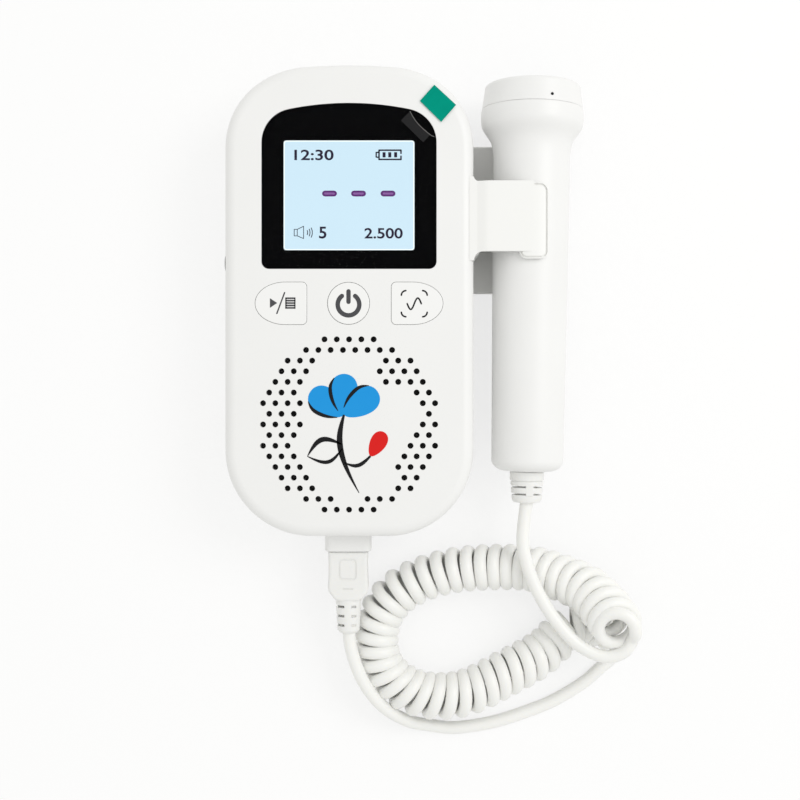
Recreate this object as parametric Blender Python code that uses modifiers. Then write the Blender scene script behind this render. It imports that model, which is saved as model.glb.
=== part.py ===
"""Pocket fetal doppler, lying on its back: a display unit with a holder, a hand probe and a curly cord.

Metres. +Z comes out of the screen, +Y points to the screen end and +X to the probe. The origin is the
middle of the unit's back face. Every piece is one object, and the pieces that move together share an empty.
"""

import math

import bmesh
import bpy
import numpy as np
from mathutils import Matrix, Vector

# Clearances and drawing steps
GAP = 0.0003
OVERRUN = 0.003
EMBED = 0.0005
WELD_DISTANCE = 0.00001
FLAT_ANGLE = math.radians(0.5)
SMOOTH_ANGLE = math.radians(35)
CORNER_STEPS = 8
ROUND_STEPS = 20
SMALL_STEPS = 10
RIM_STEPS = 3
HALF_TURN = math.pi
QUARTER_TURN = math.pi / 2
FULL_TURN = 2 * math.pi

# Case
CASE_WIDTH = 0.0746
CASE_LENGTH = 0.1414
CASE_TOP_CORNER = 0.0248
CASE_FOOT_CORNER = 0.0259
CASE_WALL = 0.0020
CASE_FILLET = 0.0035
INNER_FILLET = 0.0015
PARTING_HEIGHT = 0.0120

# Screw posts of the case
CASE_SCREW_SIDE_INSET = 0.0111
CASE_SCREW_TOP_INSET = 0.0122
CASE_SCREW_FOOT_INSET = 0.0127
POST_RADIUS = 0.0033
BOSS_RADIUS = 0.0028
SCREW_SHANK = 0.0011
SCREW_HEAD = 0.0023
SCREW_HEAD_HEIGHT = 0.0016
SCREW_LENGTH = 0.0120
SCREW_SINK = 0.0060
SLOT_WIDTH = 0.0006
SLOT_DEPTH = 0.0008

# Window of the display
WINDOW_WIDTH = 0.0520
WINDOW_FOOT_Y = 0.0094
WINDOW_TOP_MARGIN = 0.0119
WINDOW_SHOULDER_DROP = 0.0032
WINDOW_ARCH_HALF = 0.0195
WINDOW_SIDE_DROP = 0.0125
WINDOW_FOOT_CORNER = 0.0021
LENS_THICKNESS = 0.0010
FILM_THICKNESS = 0.0002
FILM_MARGIN = 0.0008

# Display behind the window
DISPLAY_VIEW_WIDTH = 0.0392
DISPLAY_VIEW_LENGTH = 0.0330
DISPLAY_VIEW_Y = 0.0312
DISPLAY_VIEW_CORNER = 0.0008
PANEL_BORDER = 0.0022
PANEL_THICKNESS = 0.0026
FRAME_BORDER = 0.0012

# Film tabs, corners chosen by hand from the window's upper right corner
TAB_CORNERS = ((-0.00057, 0.00529), (-0.00487, 0.00049), (0.00148, -0.00575), (0.00590, -0.00068))
TAPE_CORNERS = ((-0.00761, -0.00261), (-0.01038, -0.00530), (-0.00376, -0.01183), (-0.00057, -0.01007))

# Face buttons
BUTTON_Y = -0.0010
BUTTON_HEIGHT = 0.0127
BUTTON_INNER_X = 0.0126
BUTTON_FLAT = 0.0064
BUTTON_NOSE = 0.0089
BUTTON_CORNER = 0.0014
BUTTON_PROUD = 0.0003
BUTTON_FLANGE = 0.0010
BUTTON_FLANGE_THICKNESS = 0.0010
BUTTON_RIM = 0.0003
BUTTON_SKIRT = 0.0015
STEM_RADIUS = 0.0020
BUTTON_TRAVEL = 0.0004
SWITCH_SIDE = 0.0060
SWITCH_HEIGHT = 0.0034
PLUNGER_RADIUS = 0.0017
PLUNGER_HEIGHT = 0.0006
PRESS_CLEARANCE = 0.0006

# Speaker grille
GRILLE_Y = -0.0373
GRILLE_PITCH = 0.00367
GRILLE_HOLE = 0.00082
GRILLE_SIDES = 6
# Half-pitch steps from the middle of each row that carry a hole, listed by hand from the top row down
GRILLE_ROWS = (
    (-4, -2, 0, 2, 4),
    (-7, -5, -3, -1, 1, 3, 5, 7),
    (-10, -8, -6, 6, 8, 10),
    (-11, -9, -7, 5, 7, 9, 11),
    (-12, -10, -8, 6, 8, 10, 12),
    (-13, -11, -9, 11, 13),
    (-14, -12, -10, -8, 12, 14),
    (-13, -11, -9, 13),
    (-14, -12, -10, -8, 12, 14),
    (-13, -11, -9, 11, 13),
    (-14, -12, -10, 10, 12, 14),
    (-13, -11, -9, 9, 11, 13),
    (-12, -10, -8, 8, 10, 12),
    (-11, -9, -7, 9, 11),
    (-10, -8, -6, 8, 10),
    (-7, -5, -3, 3, 5, 7),
    (-4, -2, 0, 2, 4),
)

# Speaker behind the grille
SPEAKER_RADIUS = 0.0180
SPEAKER_RIM = 0.0022
SPEAKER_RIM_THICKNESS = 0.0010
SPEAKER_DEPTH = 0.0052
MAGNET_RADIUS = 0.0085
MAGNET_DEPTH = 0.0030
BASKET_WALL = 0.0008
CONE_THROAT = 0.0050
CONE_WALL = 0.0005
GASKET_THICKNESS = 0.0008
SPEAKER_RING_WALL = 0.0012
SPEAKER_RING_DEPTH = 0.0040

# Main board
BOARD_SIDE_MARGIN = 0.0063
BOARD_BELOW_BUTTONS = 0.0075
BOARD_TOP_MARGIN = 0.0172
BOARD_CORNER = 0.0030
BOARD_DROP = 0.0114
BOARD_THICKNESS = 0.0016
BOARD_POST_RADIUS = 0.0022
BOARD_POST_SIDE_INSET = 0.0040
BOARD_POST_INSET = 0.0045

# Battery bay and its door
CELL_RADIUS = 0.0071
CELL_LENGTH = 0.0490
CELL_NUB_RADIUS = 0.0027
CELL_NUB_HEIGHT = 0.0010
CELL_RIM = 0.0005
CELL_GAP = 0.0004
BAY_SIDE_ROOM = 0.0014
BAY_END_ROOM = 0.0055
BAY_SOCKET_ROOM = 0.0008
SPEAKER_ROOM = 0.0021
BAY_WALL = 0.0014
BAY_WALL_TOP = 0.0140
DOOR_LEDGE = 0.0010
DOOR_LEDGE_THICKNESS = 0.0010
DOOR_FLANGE_THICKNESS = 0.0008
DOOR_TRAVEL = 0.0080
DOOR_GRIP_COUNT = 3
DOOR_GRIP_PITCH = 0.0025
DOOR_GRIP_WIDTH = 0.0140
DOOR_GRIP_DEPTH = 0.0005
DOOR_GRIP_GROOVE = 0.0010
DOOR_GRIP_FROM_FOOT = 0.0130
CONTACT_THICKNESS = 0.0004
CONTACT_WIDTH = 0.0100
CONTACT_HEIGHT = 0.0100
SPRING_RADIUS = 0.0030
SPRING_WIRE = 0.0005
SPRING_TURN_COUNT = 1.5
SPRING_STEPS = 10

# Keys and jack on the left side
KEY_LEVEL = 0.0190
KEY_LENGTH = 0.0090
KEY_HEIGHT = 0.0040
KEY_CORNER = 0.0016
KEY_PROUD = 0.0008
KEY_FLANGE = 0.0010
KEY_FLANGE_THICKNESS = 0.0010
KEY_TRAVEL = 0.0004
VOLUME_UP_Y = 0.0345
VOLUME_DOWN_Y = 0.0225
KEY_BOARD_THICKNESS = 0.0012
KEY_BOARD_HEIGHT = 0.0070
KEY_BOARD_MARGIN = 0.0025
JACK_Y = 0.0115
JACK_BORE = 0.0018
JACK_BARREL = 0.0026
JACK_BODY_SIDE = 0.0060
JACK_ROOM = 0.0020

# Cord socket in the foot end
SOCKET_X = -0.0010
SOCKET_LEVEL = 0.0140
SOCKET_WIDTH = 0.0143
SOCKET_HEIGHT = 0.0096
SOCKET_CORNER = 0.0022
SOCKET_NOSE = 0.0061
SOCKET_INSIDE = 0.0060
SOCKET_WALL = 0.0014
SOCKET_FLANGE = 0.0016
SOCKET_FLANGE_THICKNESS = 0.0015
TONGUE_WIDTH = 0.0070
TONGUE_HEIGHT = 0.0016
TONGUE_LENGTH = 0.0060

# Plug and its boot
PLUG_WIDTH = 0.0124
PLUG_HEIGHT = 0.0080
PLUG_LENGTH = 0.0148
PLUG_CORNER = 0.0024
PLUG_TAPER = 0.0042
PLUG_END_SHARE = 0.62
PLUG_PAD_WIDTH = 0.0058
PLUG_PAD_LENGTH = 0.0068
PLUG_PAD_DEPTH = 0.0004
PLUG_PAD_FROM_FACE = 0.0057
NOSE_LENGTH = 0.0075
NOSE_WALL = 0.0008
BOOT_LENGTH = 0.0106
BOOT_TOP_RADIUS = 0.0039
BOOT_END_RADIUS = 0.0031
BOOT_SLOT_COUNT = 3
BOOT_SLOT_WIDTH = 0.0007
BOOT_SLOT_DEPTH = 0.0016
BOOT_FIRST_SLOT = 0.0024
BOOT_SLOT_PITCH = 0.0029
BOOT_WEB = 0.0013
BOOT_RIM = 0.0010

# Probe
PROBE_SIDE_ROOM = 0.00207
PROBE_FLOOR_ROOM = 0.0012
PROBE_LEAN = math.radians(0.85)
PROBE_FACE_Y = 0.0669
PROBE_SEAM_Y = 0.0598
PROBE_HEAD_END_Y = 0.0545
PROBE_FLARE_END_Y = 0.0475
PROBE_FOOT_Y = -0.0517
CAP_DRAFT = 0.0010
CAP_RADIUS = 0.0158
CAP_FILLET = 0.0012
HEAD_NARROWING = 0.0003
HANDLE_TOP_RADIUS = 0.01175
HANDLE_FOOT_RADIUS = 0.01115
HANDLE_FOOT_FILLET = 0.0034
HANDLE_WALL = 0.0018
FLARE_STEPS = 5
PROBE_STEPS = 32
CAP_WALL = 0.0016
CAP_SPIGOT = 0.0030
SEAL_WIRE = 0.0012
SEAL_SIDES = 6
FACE_MARGIN = 0.0040
FACE_THICKNESS = 0.0016
CRYSTAL_MARGIN = 0.0023
CRYSTAL_SPLIT = 0.0006
CRYSTAL_THICKNESS = 0.0012
PROBE_BOARD_WIDTH = 0.0150
PROBE_BOARD_LENGTH = 0.0520
PROBE_BOARD_THICKNESS = 0.0012
PROBE_BOARD_TOP_Y = 0.0520
BOARD_RAIL_DEPTH = 0.0022
BOARD_RAIL_WIDTH = 0.0036
PROBE_TRAVEL = 0.1000

# Strain relief of the probe
RELIEF_LENGTH = 0.0100
RELIEF_RADII = (0.0052, 0.0050, 0.0048, 0.0044)
RELIEF_COLLAR = 0.0031
RELIEF_RING = 0.0019
RELIEF_GROOVE = 0.0006
RELIEF_GROOVE_DEPTH = 0.0012
RELIEF_NECK_RADIUS = 0.0034
RELIEF_NECK_LENGTH = 0.0030
RELIEF_FLANGE_RADIUS = 0.0050
RELIEF_FLANGE_THICKNESS = 0.0012

# Holder on the right side of the case
HOLDER_PLATE_FOOT_Y = 0.0042
HOLDER_PLATE_TOP_Y = 0.0512
HOLDER_ARM_FOOT_Y = 0.0146
HOLDER_ARM_TOP_Y = 0.0356
HOLDER_ARM_RISE = 0.00155
HOLDER_WALL = 0.0017
HOLDER_ARM_SHORT = 0.00017
HOLDER_LIP_BEYOND = 0.00433
HOLDER_LIP_FOOT_Y = 0.0128
HOLDER_LIP_TOP_Y = 0.0353
HOLDER_LIP_CORNER = 0.0026
HOLDER_LIP_WALL = 0.0014
HOLDER_LIP_BEFORE = 0.00467
HOLDER_CORNER = 0.0015
HOLDER_PLATE_LEVEL = 0.0010
HOLDER_PLATE_THICKNESS = 0.0020
HOLDER_PLATE_SHORT = 0.00717
CRADLE_WALL = 0.0018
CRADLE_FOOT_Y = 0.0090
CRADLE_FROM_FLARE = 0.0008
CRADLE_REACH = math.radians(38)
CRADLE_STEPS = 10
HOLDER_SCREW_LEVEL = 0.0075
HOLDER_SCREW_YS = (0.0205, 0.0300)
HOLDER_BOSS_RADIUS = 0.0030
HOLDER_BOSS_LENGTH = 0.0034
HOLDER_SCREW_LENGTH = 0.0050
HOLDER_SCREW_HEAD_HEIGHT = 0.0013

# Cord
CORD_DIAMETER = 0.0033
CORD_SIDE_STEPS = 2
CURL_SIDE_STEPS = 1
CURL_RADIUS = 0.0052
CURL_PITCH = 0.0041
CURL_CLEARANCE = 0.00060
CURL_STEPS = 8
CURL_FLARE = 0.0026
CURL_FLARE_TURN_SHARE = 0.40
CURL_START_SIDE = (0, -1, 0)
CURL_END_SIDE = (0, 0, -1)
ROUTE_SPACING_SHARE = 2.0
AXIS_SPACING = 0.00025
# Routes of the cord, chosen by hand: the probe's lead, the axis of the curls and the plug's lead
PROBE_LEAD_ROUTE = (
    (0.0532, -0.0729, 0.0176),
    (0.0535, -0.0760, 0.0178),
    (0.0543, -0.0791, 0.0179),
    (0.0577, -0.0883, 0.0180),
    (0.0611, -0.0945, 0.0181),
    (0.0655, -0.1006, 0.0184),
    (0.0697, -0.1036, 0.0187),
)
CURL_AXIS_ROUTE = (
    (0.0808, -0.0981, 0.0215),
    (0.0793, -0.0951, 0.0176),
    (0.0765, -0.0914, 0.0138),
    (0.0711, -0.0869, 0.0104),
    (0.0644, -0.0841, 0.0083),
    (0.0563, -0.0828, 0.0075),
    (0.0468, -0.0826, 0.0073),
    (0.0310, -0.0839, 0.0072),
    (0.0218, -0.0870, 0.0072),
    (0.0144, -0.0919, 0.0072),
    (0.0096, -0.0995, 0.0072),
    (0.0086, -0.1072, 0.0072),
    (0.0108, -0.1140, 0.0072),
    (0.0160, -0.1192, 0.0072),
    (0.0269, -0.1230, 0.0072),
    (0.0364, -0.1222, 0.0072),
    (0.0468, -0.1171, 0.0072),
    (0.0563, -0.1120, 0.0072),
    (0.0620, -0.1086, 0.0072),
    (0.0664, -0.1032, 0.0072),
)
PLUG_LEAD_ROUTE = (
    (0.0774, -0.1097, 0.0020),
    (0.0797, -0.1138, 0.0020),
    (0.0761, -0.1187, 0.0020),
    (0.0697, -0.1231, 0.0020),
    (0.0633, -0.1267, 0.0020),
    (0.0569, -0.1292, 0.0020),
    (0.0505, -0.1315, 0.0020),
    (0.0441, -0.1332, 0.0020),
    (0.0377, -0.1344, 0.0020),
    (0.0312, -0.1349, 0.0020),
    (0.0248, -0.1342, 0.0022),
    (0.0193, -0.1325, 0.0036),
    (0.0142, -0.1293, 0.0060),
    (0.0096, -0.1256, 0.0088),
    (0.0057, -0.1214, 0.0112),
    (0.0029, -0.1168, 0.0128),
    (0.0009, -0.1115, 0.0136),
)

# Sizes and places that follow from the sizes above
BAY_LENGTH = CELL_LENGTH + BAY_END_ROOM
BAY_HALF_WIDTH = 2 * CELL_RADIUS + CELL_GAP / 2 + BAY_SIDE_ROOM
BAY_FOOT_Y = -CASE_LENGTH / 2 + SOCKET_INSIDE + BAY_SOCKET_ROOM + BAY_WALL
BAY_TOP_Y = BAY_FOOT_Y + BAY_LENGTH
DOOR_SEAT = DOOR_LEDGE_THICKNESS + GAP + DOOR_FLANGE_THICKNESS
CELL_LEVEL = DOOR_SEAT + GAP + CELL_RADIUS
SPEAKER_STACK = GASKET_THICKNESS + SPEAKER_DEPTH + MAGNET_DEPTH
CASE_HEIGHT = CELL_LEVEL + CELL_RADIUS + SPEAKER_ROOM + SPEAKER_STACK + GAP + CASE_WALL
CASE_SCREW_X = CASE_WIDTH / 2 - CASE_SCREW_SIDE_INSET
WINDOW_TOP_Y = CASE_LENGTH / 2 - WINDOW_TOP_MARGIN
DISPLAY_HALF_WIDTH = DISPLAY_VIEW_WIDTH / 2 + PANEL_BORDER + FRAME_BORDER
JACK_BODY_DEPTH = CASE_WIDTH / 2 - CASE_WALL - GAP - DISPLAY_HALF_WIDTH - JACK_ROOM
CASE_SCREW_TOP_Y = CASE_LENGTH / 2 - CASE_SCREW_TOP_INSET
CASE_SCREW_FOOT_Y = -CASE_LENGTH / 2 + CASE_SCREW_FOOT_INSET
BOARD_WIDTH = CASE_WIDTH - 2 * BOARD_SIDE_MARGIN
BOARD_FOOT_Y = BUTTON_Y - BOARD_BELOW_BUTTONS
BOARD_TOP_Y = CASE_LENGTH / 2 - BOARD_TOP_MARGIN
BOARD_LEVEL = CASE_HEIGHT - BOARD_DROP
BOARD_POST_X = BOARD_WIDTH / 2 - BOARD_POST_SIDE_INSET
CAP_RIM_RADIUS = CAP_RADIUS - CAP_DRAFT
HEAD_END_RADIUS = CAP_RADIUS - HEAD_NARROWING
FACE_RADIUS = CAP_RADIUS - FACE_MARGIN
CRYSTAL_RADIUS = FACE_RADIUS - CRYSTAL_MARGIN
PROBE_X = CASE_WIDTH / 2 + PROBE_SIDE_ROOM + CAP_RADIUS
PROBE_LEVEL = CAP_RADIUS + PROBE_FLOOR_ROOM
HOLDER_ARM_LEVEL = PROBE_LEVEL + HANDLE_TOP_RADIUS + GAP + HOLDER_ARM_RISE
HOLDER_ARM_END_X = PROBE_X - HOLDER_ARM_SHORT
HOLDER_LIP_END_X = PROBE_X + HOLDER_LIP_BEYOND
HOLDER_LIP_START_X = PROBE_X - HOLDER_LIP_BEFORE
HOLDER_PLATE_END_X = PROBE_X - HOLDER_PLATE_SHORT

# Materials: colour, roughness, metallic
FINISHES = {
    "white_abs": ("#f2f2f0", 0.42, 0.0),
    "white_key": ("#f4f4f2", 0.45, 0.0),
    "black_glass": ("#0b0b0d", 0.08, 0.0),
    "clear_film": ("#d8dcdc", 0.15, 0.0),
    "green_film": ("#00967f", 0.35, 0.0),
    "blue_display": ("#cfeafb", 0.30, 0.0),
    "white_frame": ("#e6e6e2", 0.50, 0.0),
    "green_board": ("#1f5a3a", 0.45, 0.0),
    "black_plastic": ("#1c1c1e", 0.50, 0.0),
    "steel": ("#b9bbbd", 0.30, 1.0),
    "nickel": ("#cfcdc6", 0.25, 1.0),
    "paper_cone": ("#2a2a2c", 0.85, 0.0),
    "ferrite": ("#3a3a3d", 0.60, 0.0),
    "foam": ("#303033", 0.95, 0.0),
    "cell_jacket": ("#5c6670", 0.35, 0.0),
    "grey_face": ("#cfd2d2", 0.35, 0.0),
    "ceramic": ("#cbbf9f", 0.55, 0.0),
    "seal_rubber": ("#3b3b3b", 0.80, 0.0),
    "white_pvc": ("#f1f1ee", 0.40, 0.0),
}


# Scene
def clear_scene():
    for thing in list(bpy.data.objects):
        bpy.data.objects.remove(thing, do_unlink=True)


def new_collection(name):
    group = bpy.data.collections.new(name)
    bpy.context.scene.collection.children.link(group)
    return group


def linear(part):
    return part / 12.92 if part <= 0.04045 else ((part + 0.055) / 1.055) ** 2.4


def colour_of(hex_text):
    values = [int(hex_text[i : i + 2], 16) / 255 for i in (1, 3, 5)]
    return [linear(value) for value in values] + [1.0]


def make_materials():
    made = {}
    for name, (colour, roughness, metallic) in FINISHES.items():
        material = bpy.data.materials.new(name)
        material.use_nodes = True
        shader = material.node_tree.nodes["Principled BSDF"]
        shader.inputs["Base Color"].default_value = colour_of(colour)
        shader.inputs["Roughness"].default_value = roughness
        shader.inputs["Metallic"].default_value = metallic
        made[name] = material
    return made


def make_object(name, mesh, group, finish=None):
    thing = bpy.data.objects.new(name, mesh)
    group.objects.link(thing)
    if finish:
        mesh.materials.append(MATERIALS[finish])
    return thing


def make_cutter(name, mesh):
    """A shape that only cuts or joins: it shows as a wire and isn't rendered."""
    thing = make_object(name, mesh, GUIDES)
    thing.display_type = "WIRE"
    thing.hide_render = True
    return thing


def combine(thing, other, operation):
    step = thing.modifiers.new(operation.title() + " " + other.name, "BOOLEAN")
    step.operation = operation
    step.object = other
    step.solver = "EXACT"


def cut(thing, *others):
    for other in others:
        combine(thing, other, "DIFFERENCE")


def join(thing, *others):
    for other in others:
        combine(thing, other, "UNION")


def smooth(mesh):
    mesh.shade_smooth()
    mesh.set_sharp_from_angle(angle=SMOOTH_ANGLE)
    return mesh


# Outlines
def arc(centre, radius, start, end, steps):
    """Points on an arc from one angle to another, both ends included."""
    angles = np.linspace(start, end, steps + 1)
    return [(centre[0] + radius * math.cos(a), centre[1] + radius * math.sin(a)) for a in angles]


def rounded_corners(half_width, low, high, top_radius, foot_radius, steps=CORNER_STEPS):
    """A rectangle about X 0 from low to high, with its own corner radius at each end, anticlockwise."""
    top_x, foot_x = half_width - top_radius, half_width - foot_radius
    return (
        arc((top_x, high - top_radius), top_radius, 0, QUARTER_TURN, steps)
        + arc((-top_x, high - top_radius), top_radius, QUARTER_TURN, HALF_TURN, steps)
        + arc((-foot_x, low + foot_radius), foot_radius, HALF_TURN, HALF_TURN + QUARTER_TURN, steps)
        + arc((foot_x, low + foot_radius), foot_radius, -QUARTER_TURN, 0, steps)
    )


def rounded_rectangle(width, length, radius, centre=(0, 0), steps=CORNER_STEPS):
    corners = rounded_corners(width / 2, -length / 2, length / 2, radius, radius, steps)
    return [(x + centre[0], y + centre[1]) for x, y in corners]


def case_outline(inset=0):
    return rounded_corners(
        CASE_WIDTH / 2 - inset,
        -CASE_LENGTH / 2 + inset,
        CASE_LENGTH / 2 - inset,
        CASE_TOP_CORNER - inset,
        CASE_FOOT_CORNER - inset,
    )


def arch_radius():
    """Radius of the window's shallow top arch, from its half width and its drop."""
    return (WINDOW_ARCH_HALF**2 + WINDOW_SHOULDER_DROP**2) / (2 * WINDOW_SHOULDER_DROP)


def window_outline(grow=0):
    """Straight sides, small lower corners, and a shallow arch whose ends roll over into the sides."""
    half = WINDOW_WIDTH / 2
    top, foot = WINDOW_TOP_Y, WINDOW_FOOT_Y
    radius = arch_radius()
    span = math.asin(WINDOW_ARCH_HALF / radius)
    arch = arc((0, top - radius), radius, QUARTER_TURN - span, QUARTER_TURN + span, CORNER_STEPS)
    shoulder = (half, top - WINDOW_SIDE_DROP)
    start = arch[0]
    tangent = (math.cos(span), -math.sin(span))
    reach = (half - start[0]) / tangent[0]
    elbow = (half, start[1] + tangent[1] * reach)
    right = quadratic(shoulder, elbow, start, CORNER_STEPS)
    left = [(-x, y) for x, y in reversed(right)]
    low = foot + WINDOW_FOOT_CORNER
    side = half - WINDOW_FOOT_CORNER
    points = right[:-1] + arch + left[1:]
    points += arc((-side, low), WINDOW_FOOT_CORNER, HALF_TURN, HALF_TURN + QUARTER_TURN, RIM_STEPS)
    points += arc((side, low), WINDOW_FOOT_CORNER, -QUARTER_TURN, 0, RIM_STEPS)
    return offset(points, grow)


def quadratic(start, middle, end, steps):
    """A parabola from start to end that heads for the middle point at both ends."""
    points = []
    for t in np.linspace(0, 1, steps + 1):
        weights = ((1 - t) ** 2, 2 * t * (1 - t), t**2)
        corners = zip(start, middle, end)
        points.append(tuple(sum(w * v for w, v in zip(weights, along)) for along in corners))
    return points


def offset(points, distance):
    """An anticlockwise outline moved outwards by a distance, square to its sides."""
    if not distance:
        return points
    ring = [Vector(p) for p in points]
    moved = []
    for i, here in enumerate(ring):
        before = (here - ring[i - 1]).normalized()
        after = (ring[(i + 1) % len(ring)] - here).normalized()
        normal = Vector((before.y + after.y, -before.x - after.x)).normalized()
        stretch = max(normal.dot(Vector((before.y, -before.x))), EMBED / OVERRUN)
        moved.append(tuple(here + normal * distance / stretch))
    return moved


def side_button_outline(side, grow=0):
    """A D with its flat side towards the middle and a half ellipse for its outer side."""
    half = BUTTON_HEIGHT / 2 + grow
    corner = BUTTON_CORNER + grow
    inner = BUTTON_INNER_X - grow
    nose_from = BUTTON_INNER_X + BUTTON_FLAT
    points = arc((inner + corner, half - corner), corner, QUARTER_TURN, HALF_TURN, RIM_STEPS)
    points += arc((inner + corner, corner - half), corner, HALF_TURN, HALF_TURN + QUARTER_TURN, RIM_STEPS)
    for a in np.linspace(-QUARTER_TURN, QUARTER_TURN, 2 * CORNER_STEPS + 1):
        points.append((nose_from + (BUTTON_NOSE + grow) * math.cos(a), half * math.sin(a)))
    points = [(x * side, y + BUTTON_Y) for x, y in points]
    return points if side > 0 else list(reversed(points))


def round_outline(radius, centre=(0, 0), steps=ROUND_STEPS):
    return arc(centre, radius, 0, FULL_TURN - FULL_TURN / steps, steps - 1)


# Solids
def mesh_of_curve(curve, name):
    """A curve's own bevelled or filled shape as a welded mesh, with its flat faces made whole."""
    carrier = bpy.data.objects.new(name + " curve", curve)
    GUIDES.objects.link(carrier)
    mesh = bpy.data.meshes.new_from_object(carrier.evaluated_get(bpy.context.evaluated_depsgraph_get()))
    bpy.data.objects.remove(carrier)
    work = bmesh.new()
    work.from_mesh(mesh)
    bmesh.ops.remove_doubles(work, verts=work.verts, dist=WELD_DISTANCE)
    bmesh.ops.dissolve_limit(work, angle_limit=FLAT_ANGLE, verts=work.verts, edges=work.edges)
    bmesh.ops.recalc_face_normals(work, faces=work.faces)
    work.to_mesh(mesh)
    work.free()
    mesh.name = name
    return mesh


def prism(name, outline, low, high, low_rim=0, high_rim=0, steps=RIM_STEPS):
    """A flat outline raised between two levels, with its lower or upper rim rounded."""
    curve = bpy.data.curves.new(name, "CURVE")
    curve.dimensions = "2D"
    curve.fill_mode = "BOTH"
    curve.extrude = (high - low) / 2
    line = curve.splines.new("POLY")
    line.points.add(len(outline) - 1)
    for point, (x, y) in zip(line.points, outline):
        point.co = (x, y, 0, 1)
    line.use_cyclic_u = True
    mesh = mesh_of_curve(curve, name)
    mesh.transform(Matrix.Translation((0, 0, (high + low) / 2)))
    for level, radius in ((low, low_rim), (high, high_rim)):
        if radius:
            round_rim(mesh, level, radius, steps)
    return smooth(mesh)


def round_rim(mesh, level, radius, steps):
    work = bmesh.new()
    work.from_mesh(mesh)
    rim = [e for e in work.edges if all(abs(v.co.z - level) < WELD_DISTANCE for v in e.verts)]
    bmesh.ops.bevel(
        work,
        geom=rim,
        offset=radius,
        offset_type="OFFSET",
        segments=steps,
        profile=0.5,
        affect="EDGES",
        clamp_overlap=True,
        material=-1,
    )
    bmesh.ops.remove_doubles(work, verts=work.verts, dist=WELD_DISTANCE)
    work.to_mesh(mesh)
    work.free()


def box(name, low, high, rim=0):
    """A box between two corners, with all its edges rounded where a rim is given."""
    bpy.ops.mesh.primitive_cube_add(size=1)
    carrier = bpy.context.active_object
    mesh = carrier.data
    bpy.data.objects.remove(carrier)
    size = Vector(high) - Vector(low)
    middle = (Vector(high) + Vector(low)) / 2
    mesh.transform(Matrix.Translation(middle) @ Matrix.Diagonal((*size, 1)))
    if rim:
        work = bmesh.new()
        work.from_mesh(mesh)
        bmesh.ops.bevel(
            work, geom=work.edges[:], offset=rim, segments=2, profile=0.5, affect="EDGES", material=-1
        )
        work.to_mesh(mesh)
        work.free()
    mesh.name = name
    return smooth(mesh)


def cylinder(name, radius, start, end, steps=ROUND_STEPS):
    """A round bar between two points."""
    start, end = Vector(start), Vector(end)
    bpy.ops.mesh.primitive_cylinder_add(vertices=steps, radius=radius, depth=(end - start).length)
    carrier = bpy.context.active_object
    mesh = carrier.data
    bpy.data.objects.remove(carrier)
    turn = Vector((0, 0, 1)).rotation_difference(end - start).to_matrix().to_4x4()
    mesh.transform(Matrix.Translation((start + end) / 2) @ turn)
    mesh.name = name
    return smooth(mesh)


def turned(name, profile, finish, group, steps=ROUND_STEPS, closed=False):
    """A profile of (radius, height) points, top to bottom down its outer side, spun round its Z axis."""
    mesh = bpy.data.meshes.new(name)
    edges = [(i, i + 1) for i in range(len(profile) - 1)]
    if closed:
        edges.append((len(profile) - 1, 0))
    mesh.from_pydata([(radius, 0, height) for radius, height in profile], edges, [])
    thing = make_object(name, mesh, group, finish) if finish else make_cutter(name, mesh)
    spin = thing.modifiers.new("Spin", "SCREW")
    spin.angle = FULL_TURN
    spin.steps = steps
    spin.render_steps = steps
    spin.use_merge_vertices = True
    spin.merge_threshold = WELD_DISTANCE
    spin.use_smooth_shade = True
    return thing


def tube(name, points, diameter, sides_level, finish):
    """A round tube with filled ends along a line of points."""
    curve = bpy.data.curves.new(name, "CURVE")
    curve.dimensions = "3D"
    curve.bevel_depth = diameter / 2
    curve.bevel_resolution = sides_level
    curve.use_fill_caps = True
    line = curve.splines.new("POLY")
    line.points.add(len(points) - 1)
    for point, place in zip(line.points, points):
        point.co = (*place, 1)
        point.radius = 1
    curve.materials.append(MATERIALS[finish])
    thing = bpy.data.objects.new(name, curve)
    PARTS.objects.link(thing)
    return thing


def add_part(name, mesh, finish, parent=None):
    thing = make_object(name, mesh, PARTS, finish)
    thing.parent = parent
    return thing


def make_frame(name, place, lean=0):
    """An empty that carries the pieces of one moving body."""
    frame = bpy.data.objects.new(name, None)
    frame.empty_display_size = CASE_WALL
    frame.location = place
    frame.rotation_euler = (0, 0, lean)
    PARTS.objects.link(frame)
    return frame


def rebase(thing, frame):
    """Hangs a piece that was drawn in world places on a frame, without moving it."""
    thing.parent = frame
    thing.matrix_parent_inverse = frame_matrix(frame).inverted()


def frame_matrix(frame):
    return Matrix.Translation(frame.location) @ frame.rotation_euler.to_matrix().to_4x4()


# Case shells
def screw_places():
    return [(x, y) for y in (CASE_SCREW_TOP_Y, CASE_SCREW_FOOT_Y) for x in (-CASE_SCREW_X, CASE_SCREW_X)]


def board_post_places():
    rows = (BOARD_FOOT_Y + BOARD_POST_INSET, BOARD_TOP_Y - BOARD_POST_INSET)
    return [(x, y) for y in rows for x in (-BOARD_POST_X, BOARD_POST_X)]


def case_block(name, low, high, inset, low_rim, high_rim):
    return prism(name, case_outline(inset), low, high, low_rim, high_rim)


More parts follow.
